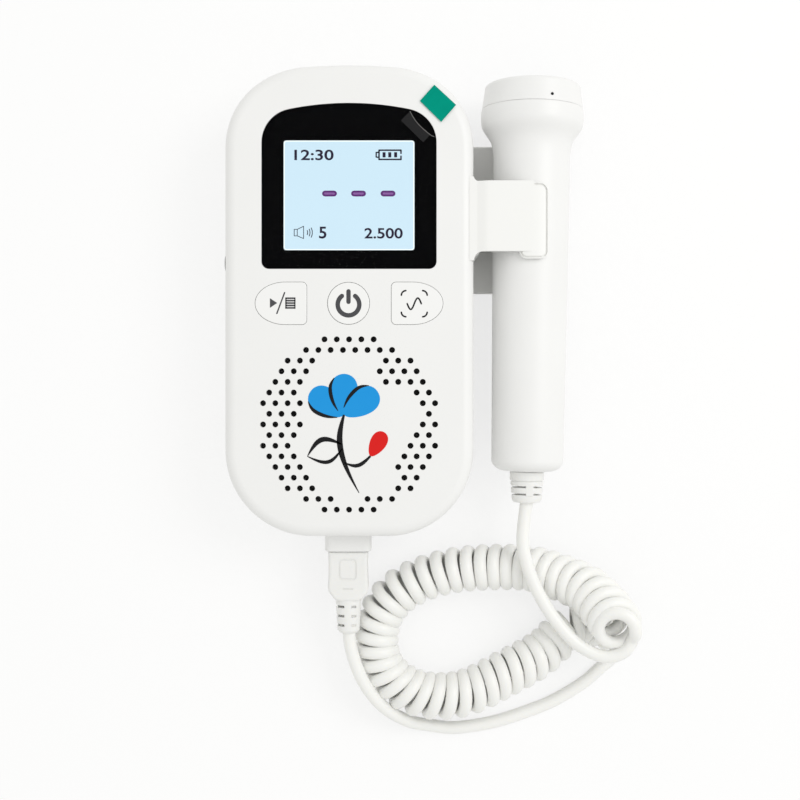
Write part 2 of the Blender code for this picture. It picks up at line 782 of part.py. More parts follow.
def grille_holes():
    """All the grille's holes as one set of pins, on a lattice of equal triangles."""
    work = bmesh.new()
    row_step = GRILLE_PITCH * math.sin(math.pi / 3)
    middle = (len(GRILLE_ROWS) - 1) / 2
    low = CASE_HEIGHT - CASE_WALL - EMBED
    depth = CASE_WALL + 2 * EMBED + OVERRUN
    for index, row in enumerate(GRILLE_ROWS):
        for step in row:
            place = (step * GRILLE_PITCH / 2, GRILLE_Y + (middle - index) * row_step, low + depth / 2)
            bmesh.ops.create_cone(
                work,
                cap_ends=True,
                segments=GRILLE_SIDES,
                radius1=GRILLE_HOLE,
                radius2=GRILLE_HOLE,
                depth=depth,
                matrix=Matrix.Translation(place),
            )
    mesh = bpy.data.meshes.new("grille holes")
    work.to_mesh(mesh)
    work.free()
    return make_cutter("grille holes", mesh)


def lens_seat():
    return CASE_HEIGHT - LENS_THICKNESS - GAP


def front_cuts():
    seat = lens_seat()
    view = rounded_rectangle(
        DISPLAY_VIEW_WIDTH, DISPLAY_VIEW_LENGTH, DISPLAY_VIEW_CORNER, (0, DISPLAY_VIEW_Y), RIM_STEPS
    )
    low = CASE_HEIGHT - CASE_WALL - OVERRUN
    high = CASE_HEIGHT + OVERRUN
    yield prism("window recess", window_outline(GAP), seat, high)
    yield prism("display opening", view, low, high)
    yield prism("power opening", round_outline(BUTTON_HEIGHT / 2 + GAP, (0, BUTTON_Y)), low, high)
    for side, label in ((-1, "left"), (1, "right")):
        yield prism(label + " button opening", side_button_outline(side, GAP), low, high)


def side_cuts():
    """Openings in the left side for the two volume keys and the jack."""
    outer = -CASE_WIDTH / 2 - OVERRUN
    inner = -CASE_WIDTH / 2 + CASE_WALL + OVERRUN
    for label, y in (("volume up", VOLUME_UP_Y), ("volume down", VOLUME_DOWN_Y)):
        yield key_block(label + " opening", y, outer, inner, GAP)
    level = jack_level()
    yield cylinder("jack opening", JACK_BARREL + GAP, (outer, JACK_Y, level), (inner, JACK_Y, level))


def make_front_shell():
    shell = add_part(
        "front_shell",
        case_block("front_shell", PARTING_HEIGHT + GAP, CASE_HEIGHT, 0, 0, CASE_FILLET),
        "white_abs",
    )
    inner = case_block(
        "front cavity", PARTING_HEIGHT - OVERRUN, CASE_HEIGHT - CASE_WALL, CASE_WALL, 0, INNER_FILLET
    )
    cut(shell, make_cutter("front cavity", inner))
    for mesh in front_cuts():
        cut(shell, make_cutter(mesh.name, mesh))
    for mesh in side_cuts():
        cut(shell, make_cutter(mesh.name, mesh))
    cut(shell, grille_holes())
    join(shell, speaker_ring())
    roof = CASE_HEIGHT - CASE_WALL + EMBED
    for number, (x, y) in enumerate(screw_places(), 1):
        label = f"screw boss {number}"
        boss = cylinder(label, BOSS_RADIUS, (x, y, PARTING_HEIGHT + GAP), (x, y, roof), SMALL_STEPS)
        join(shell, make_cutter(label, boss))
        bore_top = SCREW_SINK + SCREW_HEAD_HEIGHT + SCREW_LENGTH + GAP
        bore = cylinder(label + " bore", SCREW_SHANK + GAP, (x, y, 0), (x, y, bore_top), SMALL_STEPS)
        cut(shell, make_cutter(label + " bore", bore))
    cut(shell, socket_opening("front socket opening"))
    return shell


def speaker_ring():
    """The round wall under the grille that the speaker sits in."""
    inner = SPEAKER_RADIUS + GAP
    outer = inner + SPEAKER_RING_WALL
    top = CASE_HEIGHT - CASE_WALL + EMBED
    low = CASE_HEIGHT - CASE_WALL - SPEAKER_RING_DEPTH
    profile = ((inner, top), (outer, top), (outer, low), (inner, low))
    ring = turned("speaker ring", profile, None, GUIDES, closed=True)
    ring.location = (0, GRILLE_Y, 0)
    return ring


def socket_opening(name):
    outline = rounded_rectangle(
        SOCKET_WIDTH + 2 * GAP, SOCKET_HEIGHT + 2 * GAP, SOCKET_CORNER + GAP, steps=RIM_STEPS
    )
    start = -CASE_LENGTH / 2 - OVERRUN
    end = -CASE_LENGTH / 2 + CASE_WALL + OVERRUN
    mesh = prism(name, outline, 0, end - start)
    mesh.transform(end_on((SOCKET_X, end, SOCKET_LEVEL)))
    return make_cutter(name, mesh)


def end_on(place):
    """Turns a shape drawn upwards so that it runs along -Y from a place, with its own Y upright."""
    x, y, z = place
    return Matrix(((1, 0, 0, x), (0, 0, -1, y), (0, 1, 0, z), (0, 0, 0, 1)))


def make_rear_shell():
    shell = add_part(
        "rear_shell", case_block("rear_shell", 0, PARTING_HEIGHT, 0, CASE_FILLET, 0), "white_abs"
    )
    inner = case_block(
        "rear cavity", CASE_WALL, PARTING_HEIGHT + OVERRUN, CASE_WALL, INNER_FILLET, 0
    )
    cut(shell, make_cutter("rear cavity", inner))
    low = CASE_WALL - EMBED
    for number, (x, y) in enumerate(screw_places(), 1):
        label = f"screw post {number}"
        post = cylinder(label, POST_RADIUS, (x, y, low), (x, y, PARTING_HEIGHT), SMALL_STEPS)
        join(shell, make_cutter(label, post))
    for number, (x, y) in enumerate(board_post_places(), 1):
        label = f"board post {number}"
        post = cylinder(label, BOARD_POST_RADIUS, (x, y, low), (x, y, BOARD_LEVEL - GAP), SMALL_STEPS)
        join(shell, make_cutter(label, post))
    join(shell, bay_walls())
    cut(shell, bay_hollow(), *door_openings())
    for number, (x, y) in enumerate(screw_places(), 1):
        label = f"screw hole {number}"
        sunk_to = SCREW_SINK + SCREW_HEAD_HEIGHT
        sunk = cylinder(label + " sink", SCREW_HEAD + GAP, (x, y, -OVERRUN), (x, y, sunk_to), SMALL_STEPS)
        bore = cylinder(label, SCREW_SHANK + GAP, (x, y, 0), (x, y, PARTING_HEIGHT + OVERRUN), SMALL_STEPS)
        cut(shell, make_cutter(label + " sink", sunk), make_cutter(label, bore))
    for number, y in enumerate(HOLDER_SCREW_YS, 1):
        wall = CASE_WIDTH / 2
        start = (wall - CASE_WALL - OVERRUN, y, HOLDER_SCREW_LEVEL)
        end = (wall + OVERRUN, y, HOLDER_SCREW_LEVEL)
        label = f"holder screw hole {number}"
        cut(shell, make_cutter(label, cylinder(label, SCREW_SHANK + GAP, start, end, SMALL_STEPS)))
    cut(shell, socket_opening("rear socket opening"))
    return shell


def bay_walls():
    low = (-BAY_HALF_WIDTH - BAY_WALL, BAY_FOOT_Y - BAY_WALL, CASE_WALL - EMBED)
    high = (BAY_HALF_WIDTH + BAY_WALL, BAY_TOP_Y + BAY_WALL, BAY_WALL_TOP)
    return make_cutter("bay walls", box("bay walls", low, high))


def bay_hollow():
    low = (-BAY_HALF_WIDTH, BAY_FOOT_Y, DOOR_LEDGE_THICKNESS)
    high = (BAY_HALF_WIDTH, BAY_TOP_Y, BAY_WALL_TOP + OVERRUN)
    return make_cutter("bay hollow", box("bay hollow", low, high))


def door_openings():
    """The slot that the door's plate shows in, and the wider one above it that its flange slides in."""
    end = -CASE_LENGTH / 2 - OVERRUN
    narrow = BAY_HALF_WIDTH - DOOR_LEDGE
    slot_high = (narrow, BAY_TOP_Y - DOOR_LEDGE, DOOR_LEDGE_THICKNESS + EMBED)
    yield make_cutter("door slot", box("door slot", (-narrow, end, -OVERRUN), slot_high))
    runner_low = (-BAY_HALF_WIDTH, end, DOOR_LEDGE_THICKNESS)
    runner_high = (BAY_HALF_WIDTH, BAY_TOP_Y, DOOR_SEAT + GAP)
    yield make_cutter("door runner", box("door runner", runner_low, runner_high))


def make_battery_door(frame):
    """A plate flush with the back that slides towards the foot end on the flange along its sides."""
    shape = case_block("battery_door", 0, PARTING_HEIGHT, 0, CASE_FILLET, 0)
    door = add_part("battery_door", shape, "white_abs")
    half = BAY_HALF_WIDTH - DOOR_LEDGE - GAP
    end = -CASE_LENGTH / 2 - OVERRUN
    flange_low = DOOR_LEDGE_THICKNESS + GAP
    top = BAY_TOP_Y - DOOR_LEDGE - GAP
    plate = box("door plate", (-half, end, -OVERRUN), (half, top, flange_low + EMBED))
    area = make_cutter("door plate", plate)
    wide = BAY_HALF_WIDTH - GAP
    flange = box("door flange", (-wide, end, flange_low), (wide, BAY_TOP_Y - GAP, DOOR_SEAT))
    join(area, make_cutter("door flange", flange))
    combine(door, area, "INTERSECT")
    first = -CASE_LENGTH / 2 + DOOR_GRIP_FROM_FOOT
    for number in range(DOOR_GRIP_COUNT):
        y = first + number * DOOR_GRIP_PITCH
        low = (-DOOR_GRIP_WIDTH / 2, y, -OVERRUN)
        high = (DOOR_GRIP_WIDTH / 2, y + DOOR_GRIP_GROOVE, DOOR_GRIP_DEPTH)
        label = f"door grip {number + 1}"
        cut(door, make_cutter(label, box(label, low, high)))
    rebase(door, frame)


def make_screw(name, head_radius, head_height, length, place, direction):
    """A slotted screw whose head's outer face is at a place, pointing along a direction."""
    profile = (
        (0, 0),
        (head_radius, 0),
        (head_radius, -head_height),
        (SCREW_SHANK, -head_height),
        (SCREW_SHANK, -head_height - length + SCREW_SHANK),
        (0, -head_height - length),
    )
    screw = turned(name, profile, "steel", PARTS, SMALL_STEPS)
    reach = head_radius + EMBED
    slot = box(name + " slot", (-reach, -SLOT_WIDTH / 2, -SLOT_DEPTH), (reach, SLOT_WIDTH / 2, EMBED))
    turn = Vector((0, 0, -1)).rotation_difference(Vector(direction))
    cutter = make_cutter(name + " slot", slot)
    for thing in (screw, cutter):
        thing.location = place
        thing.rotation_mode = "QUATERNION"
        thing.rotation_quaternion = turn
    cut(screw, cutter)
    return screw


def make_case_screws():
    for number, (x, y) in enumerate(screw_places(), 1):
        place = (x, y, SCREW_SINK)
        head_height = SCREW_HEAD_HEIGHT - GAP
        make_screw(f"case_screw_{number}", SCREW_HEAD, head_height, SCREW_LENGTH, place, (0, 0, 1))


# Window and display
def at_window_corner(corners):
    return [(WINDOW_WIDTH / 2 + x, WINDOW_TOP_Y + y) for x, y in corners]


def make_window():
    lens_low = CASE_HEIGHT - LENS_THICKNESS
    add_part("window_lens", prism("window_lens", window_outline(), lens_low, CASE_HEIGHT), "black_glass")
    film_low = CASE_HEIGHT + GAP
    film_high = film_low + FILM_THICKNESS
    sheet = prism("screen_film", window_outline(-FILM_MARGIN), film_low, film_high)
    film = add_part("screen_film", sheet, "clear_film")
    tape = prism("film tape", at_window_corner(TAPE_CORNERS), film_low, film_high)
    join(film, make_cutter("film tape", tape))
    tab = prism("film_tab", at_window_corner(TAB_CORNERS), film_low, film_high)
    add_part("film_tab", tab, "green_film")


def make_display():
    top = CASE_HEIGHT - CASE_WALL - GAP
    panel = rounded_rectangle(
        DISPLAY_VIEW_WIDTH + 2 * PANEL_BORDER,
        DISPLAY_VIEW_LENGTH + 2 * PANEL_BORDER,
        DISPLAY_VIEW_CORNER,
        (0, DISPLAY_VIEW_Y),
        RIM_STEPS,
    )
    panel_low = top - PANEL_THICKNESS
    add_part("display_panel", prism("display_panel", panel, panel_low, top), "blue_display")
    border = PANEL_BORDER + FRAME_BORDER
    frame = rounded_rectangle(
        DISPLAY_VIEW_WIDTH + 2 * border,
        DISPLAY_VIEW_LENGTH + 2 * border,
        DISPLAY_VIEW_CORNER,
        (0, DISPLAY_VIEW_Y),
        RIM_STEPS,
    )
    low = BOARD_LEVEL + BOARD_THICKNESS + GAP
    add_part("display_frame", prism("display_frame", frame, low, panel_low - GAP), "white_frame")


def make_main_board():
    corners = (BOARD_CORNER, BOARD_CORNER)
    outline = rounded_corners(BOARD_WIDTH / 2, BOARD_FOOT_Y, BOARD_TOP_Y, *corners, RIM_STEPS)
    high = BOARD_LEVEL + BOARD_THICKNESS
    add_part("main_board", prism("main_board", outline, BOARD_LEVEL, high), "green_board")


# Face buttons
def button_middle(side):
    return side * (BUTTON_INNER_X + (BUTTON_FLAT + BUTTON_NOSE) / 2)


def switch_top():
    return BOARD_LEVEL + BOARD_THICKNESS + GAP + SWITCH_HEIGHT + PLUNGER_HEIGHT


def make_button(name, outline, flange_outline, x, frame):
    """A cap that stands a little proud, with a flange under the shell and a stem over its switch."""
    roof = CASE_HEIGHT - CASE_WALL - GAP
    low = roof - BUTTON_FLANGE_THICKNESS
    top = CASE_HEIGHT + BUTTON_PROUD
    cap = add_part(name, prism(name, outline, low + EMBED, top, 0, BUTTON_RIM, 2), "white_key")
    join(cap, make_cutter(name + " flange", prism(name + " flange", flange_outline, low, roof)))
    stem_foot = (x, BUTTON_Y, switch_top() + PRESS_CLEARANCE)
    stem = cylinder(name + " stem", STEM_RADIUS, stem_foot, (x, BUTTON_Y, low + EMBED), SMALL_STEPS)
    join(cap, make_cutter(name + " stem", stem))
    rebase(cap, frame)


def make_face_buttons():
    for side, label in ((-1, "menu"), (1, "mode")):
        x = button_middle(side)
        frame = make_frame(label + " button slide", (x, BUTTON_Y, CASE_HEIGHT))
        outline = side_button_outline(side)
        make_button(label + "_button", outline, side_button_outline(side, BUTTON_FLANGE), x, frame)
        make_switch(label + "_switch", x)
    frame = make_frame("power button slide", (0, BUTTON_Y, CASE_HEIGHT))
    radius = BUTTON_HEIGHT / 2
    place = (0, BUTTON_Y)
    flange = round_outline(radius + BUTTON_FLANGE, place)
    make_button("power_button", round_outline(radius, place), flange, 0, frame)
    make_switch("power_switch", 0)


def make_switch(name, x):
    half = SWITCH_SIDE / 2
    low = BOARD_LEVEL + BOARD_THICKNESS + GAP
    high = low + SWITCH_HEIGHT
    body = box(name, (x - half, BUTTON_Y - half, low), (x + half, BUTTON_Y + half, high))
    switch = add_part(name, body, "black_plastic")
    start, end = (x, BUTTON_Y, high - EMBED), (x, BUTTON_Y, high + PLUNGER_HEIGHT)
    plunger = cylinder(name + " plunger", PLUNGER_RADIUS, start, end, SMALL_STEPS)
    join(switch, make_cutter(name + " plunger", plunger))


# Side keys and jack
def key_block(name, y, start, end, grow=0):
    """A key's rounded outline on the left side, between two places along X."""
    length, height = KEY_LENGTH + 2 * grow, KEY_HEIGHT + 2 * grow
    outline = rounded_rectangle(length, height, KEY_CORNER + grow, steps=RIM_STEPS)
    mesh = prism(name, outline, 0, end - start)
    turn = Matrix(((0, 0, 1, start), (1, 0, 0, y), (0, 1, 0, KEY_LEVEL), (0, 0, 0, 1)))
    mesh.transform(turn)
    return mesh


def make_side_key(name, y):
    wall = -CASE_WIDTH / 2
    frame = make_frame(name + " slide", (wall, y, KEY_LEVEL))
    inner = wall + CASE_WALL + GAP
    key = add_part(name, key_block(name, y, wall - KEY_PROUD, inner + EMBED), "white_key")
    flange = key_block(name + " flange", y, inner, inner + KEY_FLANGE_THICKNESS, KEY_FLANGE)
    join(key, make_cutter(name + " flange", flange))
    rebase(key, frame)


def make_side_controls():
    make_side_key("volume_up_key", VOLUME_UP_Y)
    make_side_key("volume_down_key", VOLUME_DOWN_Y)
    flange_face = -CASE_WIDTH / 2 + CASE_WALL + GAP + KEY_FLANGE_THICKNESS
    start = flange_face + KEY_TRAVEL + GAP
    half = KEY_BOARD_HEIGHT / 2
    board = box(
        "key_board",
        (start, VOLUME_DOWN_Y - KEY_LENGTH / 2 - KEY_BOARD_MARGIN, KEY_LEVEL - half),
        (start + KEY_BOARD_THICKNESS, VOLUME_UP_Y + KEY_LENGTH / 2 + KEY_BOARD_MARGIN, KEY_LEVEL + half),
    )
    add_part("key_board", board, "green_board")
    make_jack()


def jack_level():
    return BOARD_LEVEL + BOARD_THICKNESS + GAP + JACK_BODY_SIDE / 2


def make_jack():
    """A headphone jack on the board: a square body inside, and a round barrel in the side wall."""
    wall = -CASE_WIDTH / 2
    inner = wall + CASE_WALL + GAP
    half = JACK_BODY_SIDE / 2
    y, z = JACK_Y, jack_level()
    body = box("headphone_jack", (inner, y - half, z - half), (inner + JACK_BODY_DEPTH, y + half, z + half))
    jack = add_part("headphone_jack", body, "black_plastic")
    barrel = cylinder("jack barrel", JACK_BARREL, (wall - GAP, y, z), (inner + EMBED, y, z))
    back = inner + JACK_BODY_DEPTH - EMBED
    bore = cylinder("jack bore", JACK_BORE, (wall - OVERRUN, y, z), (back, y, z), SMALL_STEPS)
    join(jack, make_cutter("jack barrel", barrel))
    cut(jack, make_cutter("jack bore", bore))


# Speaker
def make_speaker():
    roof = CASE_HEIGHT - CASE_WALL - GAP
    rim_inner = SPEAKER_RADIUS - SPEAKER_RIM
    rim = SPEAKER_RADIUS - GAP
    gasket_low = roof - GASKET_THICKNESS
    section = ((rim_inner, roof), (rim, roof), (rim, gasket_low), (rim_inner, gasket_low))
    gasket = turned("speaker_gasket", section, "foam", PARTS, closed=True)
    rim_top = roof - GASKET_THICKNESS - GAP
    foot = rim_top - SPEAKER_DEPTH
    basket = turned(
        "speaker_basket",
        (
            (rim_inner, rim_top),
            (SPEAKER_RADIUS - GAP, rim_top),
            (SPEAKER_RADIUS - GAP, rim_top - SPEAKER_RIM_THICKNESS),
            (rim_inner, rim_top - SPEAKER_RIM_THICKNESS),
            (MAGNET_RADIUS + BASKET_WALL, foot),
            (CONE_THROAT, foot),
            (CONE_THROAT, foot + BASKET_WALL),
            (MAGNET_RADIUS, foot + BASKET_WALL),
        ),
        "steel",
        PARTS,
        closed=True,
    )
    cone_rim = rim_inner - 2 * BASKET_WALL
    cone_foot = foot + BASKET_WALL + GAP
    cone = turned(
        "speaker_cone",
        (
            (0, cone_foot + CONE_WALL),
            (CONE_THROAT, cone_foot + CONE_WALL),
            (cone_rim - CONE_WALL, rim_top),
            (cone_rim, rim_top),
            (cone_rim, rim_top - CONE_WALL),
            (CONE_THROAT + CONE_WALL, cone_foot),
            (0, cone_foot),
        ),
        "paper_cone",
        PARTS,
    )
    high, low = foot - GAP, foot - GAP - MAGNET_DEPTH
    disc = ((0, high), (MAGNET_RADIUS, high), (MAGNET_RADIUS, low), (0, low))
    magnet = turned("speaker_magnet", disc, "ferrite", PARTS)
    for piece in (gasket, basket, cone, magnet):
        piece.location = (0, GRILLE_Y, 0)


# Batteries and their contacts
def make_batteries():
    """Two cells side by side, head to tail."""
    profile = (
        (0, CELL_LENGTH / 2 + CELL_NUB_HEIGHT),
        (CELL_NUB_RADIUS, CELL_LENGTH / 2 + CELL_NUB_HEIGHT),
        (CELL_NUB_RADIUS, CELL_LENGTH / 2),
        (CELL_RADIUS - CELL_RIM, CELL_LENGTH / 2),
        (CELL_RADIUS, CELL_LENGTH / 2 - CELL_RIM),
        (CELL_RADIUS, -CELL_LENGTH / 2 + CELL_RIM),
        (CELL_RADIUS - CELL_RIM, -CELL_LENGTH / 2),
        (0, -CELL_LENGTH / 2),
    )
    for side, label in ((-1, "left"), (1, "right")):
        cell = turned("battery_" + label, profile, "cell_jacket", PARTS)
        cell.location = (side * (CELL_RADIUS + CELL_GAP / 2), cell_middle_y(side), CELL_LEVEL)
        cell.rotation_euler = (side * QUARTER_TURN, 0, 0)


def cell_middle_y(side):
    """The nub end rests near its own end wall, and the spring fills the other."""
    slack = (BAY_LENGTH - CELL_LENGTH) / 2 - CELL_NUB_HEIGHT - CONTACT_THICKNESS - 2 * GAP
    return BAY_TOP_Y - BAY_LENGTH / 2 - side * slack


def make_contacts():
    level = CELL_LEVEL
    high, low = level + CONTACT_HEIGHT / 2, level - CONTACT_HEIGHT / 2
    offset_x = CELL_RADIUS + CELL_GAP / 2
    top = BAY_TOP_Y - GAP
    foot = BAY_FOOT_Y + GAP
    reach = offset_x + CONTACT_WIDTH / 2
    bridge = box("battery_bridge_plate", (-reach, top - CONTACT_THICKNESS, low), (reach, top, high))
    add_part("battery_bridge_plate", bridge, "nickel")
    for side, label in ((1, "plus"), (-1, "minus")):
        x = side * offset_x
        name = f"battery_{label}_contact"
        low_corner = (x - CONTACT_WIDTH / 2, foot, low)
        high_corner = (x + CONTACT_WIDTH / 2, foot + CONTACT_THICKNESS, high)
        plate = box(name, low_corner, high_corner)
        add_part(name, plate, "nickel")
    for side, label in ((-1, "left"), (1, "right")):
        make_battery_spring("battery_spring_" + label, side)


def make_battery_spring(name, side):
    """A short wound wire between a contact plate and the flat end of its cell."""
    wall = BAY_TOP_Y - GAP - CONTACT_THICKNESS if side > 0 else BAY_FOOT_Y + GAP + CONTACT_THICKNESS
    towards = -side
    flat_end = cell_middle_y(side) - towards * CELL_LENGTH / 2
    start = wall + towards * (GAP + SPRING_WIRE / 2)
    end = flat_end - towards * (GAP + SPRING_WIRE / 2)
    centre_x = side * (CELL_RADIUS + CELL_GAP / 2)
    points = []
    count = round(SPRING_TURN_COUNT * SPRING_STEPS)
    for step in range(count + 1):
        share = step / count
        angle = FULL_TURN * step / SPRING_STEPS
        x = centre_x + SPRING_RADIUS * math.cos(angle)
        z = CELL_LEVEL + SPRING_RADIUS * math.sin(angle)
        points.append((x, start + (end - start) * share, z))
    tube(name, points, SPRING_WIRE, 0, "steel")


# Socket, plug and boot
def make_socket():
    """The collar that stands out of the foot end, held by a flange inside the wall."""
    inside = -CASE_LENGTH / 2 + SOCKET_INSIDE
    length = SOCKET_INSIDE + SOCKET_NOSE
    outline = rounded_rectangle(SOCKET_WIDTH, SOCKET_HEIGHT, SOCKET_CORNER, steps=RIM_STEPS)
    mesh = prism("socket_housing", outline, 0, length, 0, SOCKET_CORNER / 3, 2)
    mesh.transform(end_on((SOCKET_X, inside, SOCKET_LEVEL)))
    socket = add_part("socket_housing", mesh, "white_abs")
    flange_outline = rounded_rectangle(
        SOCKET_WIDTH + 2 * SOCKET_FLANGE, SOCKET_HEIGHT + 2 * SOCKET_FLANGE, SOCKET_CORNER, steps=RIM_STEPS
    )
    flange = prism("socket flange", flange_outline, 0, SOCKET_FLANGE_THICKNESS)
    wall = -CASE_LENGTH / 2 + CASE_WALL + GAP
    flange.transform(end_on((SOCKET_X, wall + SOCKET_FLANGE_THICKNESS, SOCKET_LEVEL)))
    join(socket, make_cutter("socket flange", flange))
    width, height = SOCKET_WIDTH - 2 * SOCKET_WALL, SOCKET_HEIGHT - 2 * SOCKET_WALL
    hollow = rounded_rectangle(width, height, SOCKET_CORNER - SOCKET_WALL, steps=RIM_STEPS)
    bore = prism("socket hollow", hollow, 0, length)
    bore.transform(end_on((SOCKET_X, inside - SOCKET_WALL, SOCKET_LEVEL)))
    cut(socket, make_cutter("socket hollow", bore))
    back = inside - SOCKET_WALL - GAP
    tongue = box(
        "socket_tongue",
        (SOCKET_X - TONGUE_WIDTH / 2, back - TONGUE_LENGTH, SOCKET_LEVEL - TONGUE_HEIGHT / 2),
        (SOCKET_X + TONGUE_WIDTH / 2, back, SOCKET_LEVEL + TONGUE_HEIGHT / 2),
    )
    add_part("socket_tongue", tongue, "black_plastic")


def socket_mouth_y():
    return -CASE_LENGTH / 2 - SOCKET_NOSE


def plug_outline():
    """Straight sides, then shoulders that draw in to the boot, drawn with the plug's length along Y."""
    half = PLUG_WIDTH / 2
    end_half = half * PLUG_END_SHARE
    straight = PLUG_LENGTH - PLUG_TAPER
    start, elbow = (half, straight - PLUG_CORNER), (half, straight + PLUG_CORNER)
    side = [(half, 0), start]
    side += quadratic(start, elbow, (end_half, PLUG_LENGTH), CORNER_STEPS)[1:]
    return side + [(-x, y) for x, y in reversed(side)]


def make_plug():
    face = socket_mouth_y() - GAP
    half = PLUG_HEIGHT / 2
    mesh = prism("plug_body", plug_outline(), -half, half, PLUG_CORNER / 2, PLUG_CORNER / 2)
    mesh.transform(Matrix.Translation((SOCKET_X, face, SOCKET_LEVEL)) @ Matrix.Rotation(HALF_TURN, 4, "Z"))
    plug = add_part("plug_body", mesh, "white_pvc")
    middle = (SOCKET_X, face - PLUG_PAD_FROM_FACE)
    pad_outline = rounded_rectangle(PLUG_PAD_WIDTH, PLUG_PAD_LENGTH, 2 * PLUG_PAD_DEPTH, middle, RIM_STEPS)
    level = SOCKET_LEVEL + half
    pad = prism("plug pad", pad_outline, level - PLUG_PAD_DEPTH, level + OVERRUN)
    cut(plug, make_cutter("plug pad", pad))
    make_nose(face)
    make_boot(face - PLUG_LENGTH - GAP)


def make_nose(face):
    """The plug's metal sleeve inside the socket, round the socket's tongue."""
    width = SOCKET_WIDTH - 2 * SOCKET_WALL - 2 * GAP
    height = SOCKET_HEIGHT - 2 * SOCKET_WALL - 2 * GAP
    corner = SOCKET_CORNER - SOCKET_WALL - GAP
    outline = rounded_rectangle(width, height, corner, steps=RIM_STEPS)
    start = face + GAP + NOSE_LENGTH
    mesh = prism("plug_nose", outline, 0, NOSE_LENGTH)
    mesh.transform(end_on((SOCKET_X, start, SOCKET_LEVEL)))
    nose = add_part("plug_nose", mesh, "nickel")
    hollow = rounded_rectangle(width - 2 * NOSE_WALL, height - 2 * NOSE_WALL, corner / 2, steps=RIM_STEPS)
    bore = prism("nose hollow", hollow, 0, NOSE_LENGTH - NOSE_WALL + OVERRUN)
    bore.transform(end_on((SOCKET_X, start + OVERRUN, SOCKET_LEVEL)))
    cut(nose, make_cutter("nose hollow", bore))


def make_boot(start):
    """A tapered sleeve with rows of slots that let it bend, on four sides of a solid core."""
    profile = (
        (0, 0),
        (BOOT_TOP_RADIUS, 0),
        (BOOT_END_RADIUS, -BOOT_LENGTH + BOOT_RIM),
        (BOOT_END_RADIUS - BOOT_RIM / 2, -BOOT_LENGTH),
        (0, -BOOT_LENGTH),
    )
    boot = turned("plug_boot", profile, "white_pvc", PARTS)
    boot.location = (SOCKET_X, start, SOCKET_LEVEL)
    boot.rotation_euler = (-QUARTER_TURN, 0, 0)
    core = BOOT_END_RADIUS - BOOT_SLOT_DEPTH
    for row in range(BOOT_SLOT_COUNT):
        y = start - BOOT_FIRST_SLOT - row * BOOT_SLOT_PITCH
        for across in (-1, 1):
            for up in (-1, 1):
                label = f"boot slot {row + 1} {across} {up}"
                near, far = BOOT_WEB / 2 * across, (BOOT_TOP_RADIUS + EMBED) * across
                low, high = core * up, (BOOT_TOP_RADIUS + EMBED) * up
                half = BOOT_SLOT_WIDTH / 2
                start_corner = (SOCKET_X + min(near, far), y - half, SOCKET_LEVEL + min(low, high))
                end_corner = (SOCKET_X + max(near, far), y + half, SOCKET_LEVEL + max(low, high))
                cut(boot, make_cutter(label, box(label, start_corner, end_corner)))


def boot_end():
    return Vector((SOCKET_X, socket_mouth_y() - 2 * GAP - PLUG_LENGTH - BOOT_LENGTH, SOCKET_LEVEL))


# Probe
def probe_matrix():
    return Matrix.Translation((PROBE_X, 0, PROBE_LEVEL)) @ Matrix.Rotation(-PROBE_LEAN, 4, "Z")


def along_probe(y):
    return probe_matrix() @ Vector((0, y, 0))


def handle_radius(y):
    """The handle's taper between its foot and the end of the flare."""
    share = (y - PROBE_FOOT_Y) / (PROBE_FLARE_END_Y - PROBE_FOOT_Y)
    return HANDLE_FOOT_RADIUS + (HANDLE_TOP_RADIUS - HANDLE_FOOT_RADIUS) * share


def handle_profile(inset=0):
    """The outer line from the seam down to the foot: head, hollow flare, taper and rounded foot."""
    points = [(CAP_RADIUS - inset, PROBE_SEAM_Y), (HEAD_END_RADIUS - inset, PROBE_HEAD_END_Y)]
    start, end = (HEAD_END_RADIUS - inset, PROBE_HEAD_END_Y), (HANDLE_TOP_RADIUS - inset, PROBE_FLARE_END_Y)
    middle_y = (PROBE_HEAD_END_Y + PROBE_FLARE_END_Y) / 2
    for share in np.linspace(0, 1, FLARE_STEPS + 1)[1:]:
        ease = share * share * (3 - 2 * share)
        points.append((start[0] + (end[0] - start[0]) * ease, start[1] + (end[1] - start[1]) * share))
    foot = PROBE_FOOT_Y + inset
    fillet = HANDLE_FOOT_FILLET - inset / 2
    radius = HANDLE_FOOT_RADIUS - inset
    for angle in np.linspace(0, QUARTER_TURN, CORNER_STEPS - 2):
        across, along = fillet * math.cos(angle), fillet * math.sin(angle)
        points.append((radius - fillet + across, foot + fillet - along))
    return points


def place_on_probe(thing):
    """Turns a piece drawn round its own Z axis onto the probe's axis, and hangs it on the probe's frame."""
    thing.parent = PROBE_FRAME
    thing.rotation_euler = (-QUARTER_TURN, 0, 0)


def make_probe_handle():
    outer = handle_profile()
    inner = handle_profile(HANDLE_WALL)
    bore = RELIEF_NECK_RADIUS + GAP
    profile = outer + [(bore, PROBE_FOOT_Y), (bore, PROBE_FOOT_Y + HANDLE_WALL)] + list(reversed(inner))
    handle = turned("probe_handle", profile, "white_abs", PARTS, PROBE_STEPS, closed=True)
    place_on_probe(handle)
    for side, label in ((-1, "left"), (1, "right")):
        join(handle, board_rail(label + " board rail", side))
    return handle


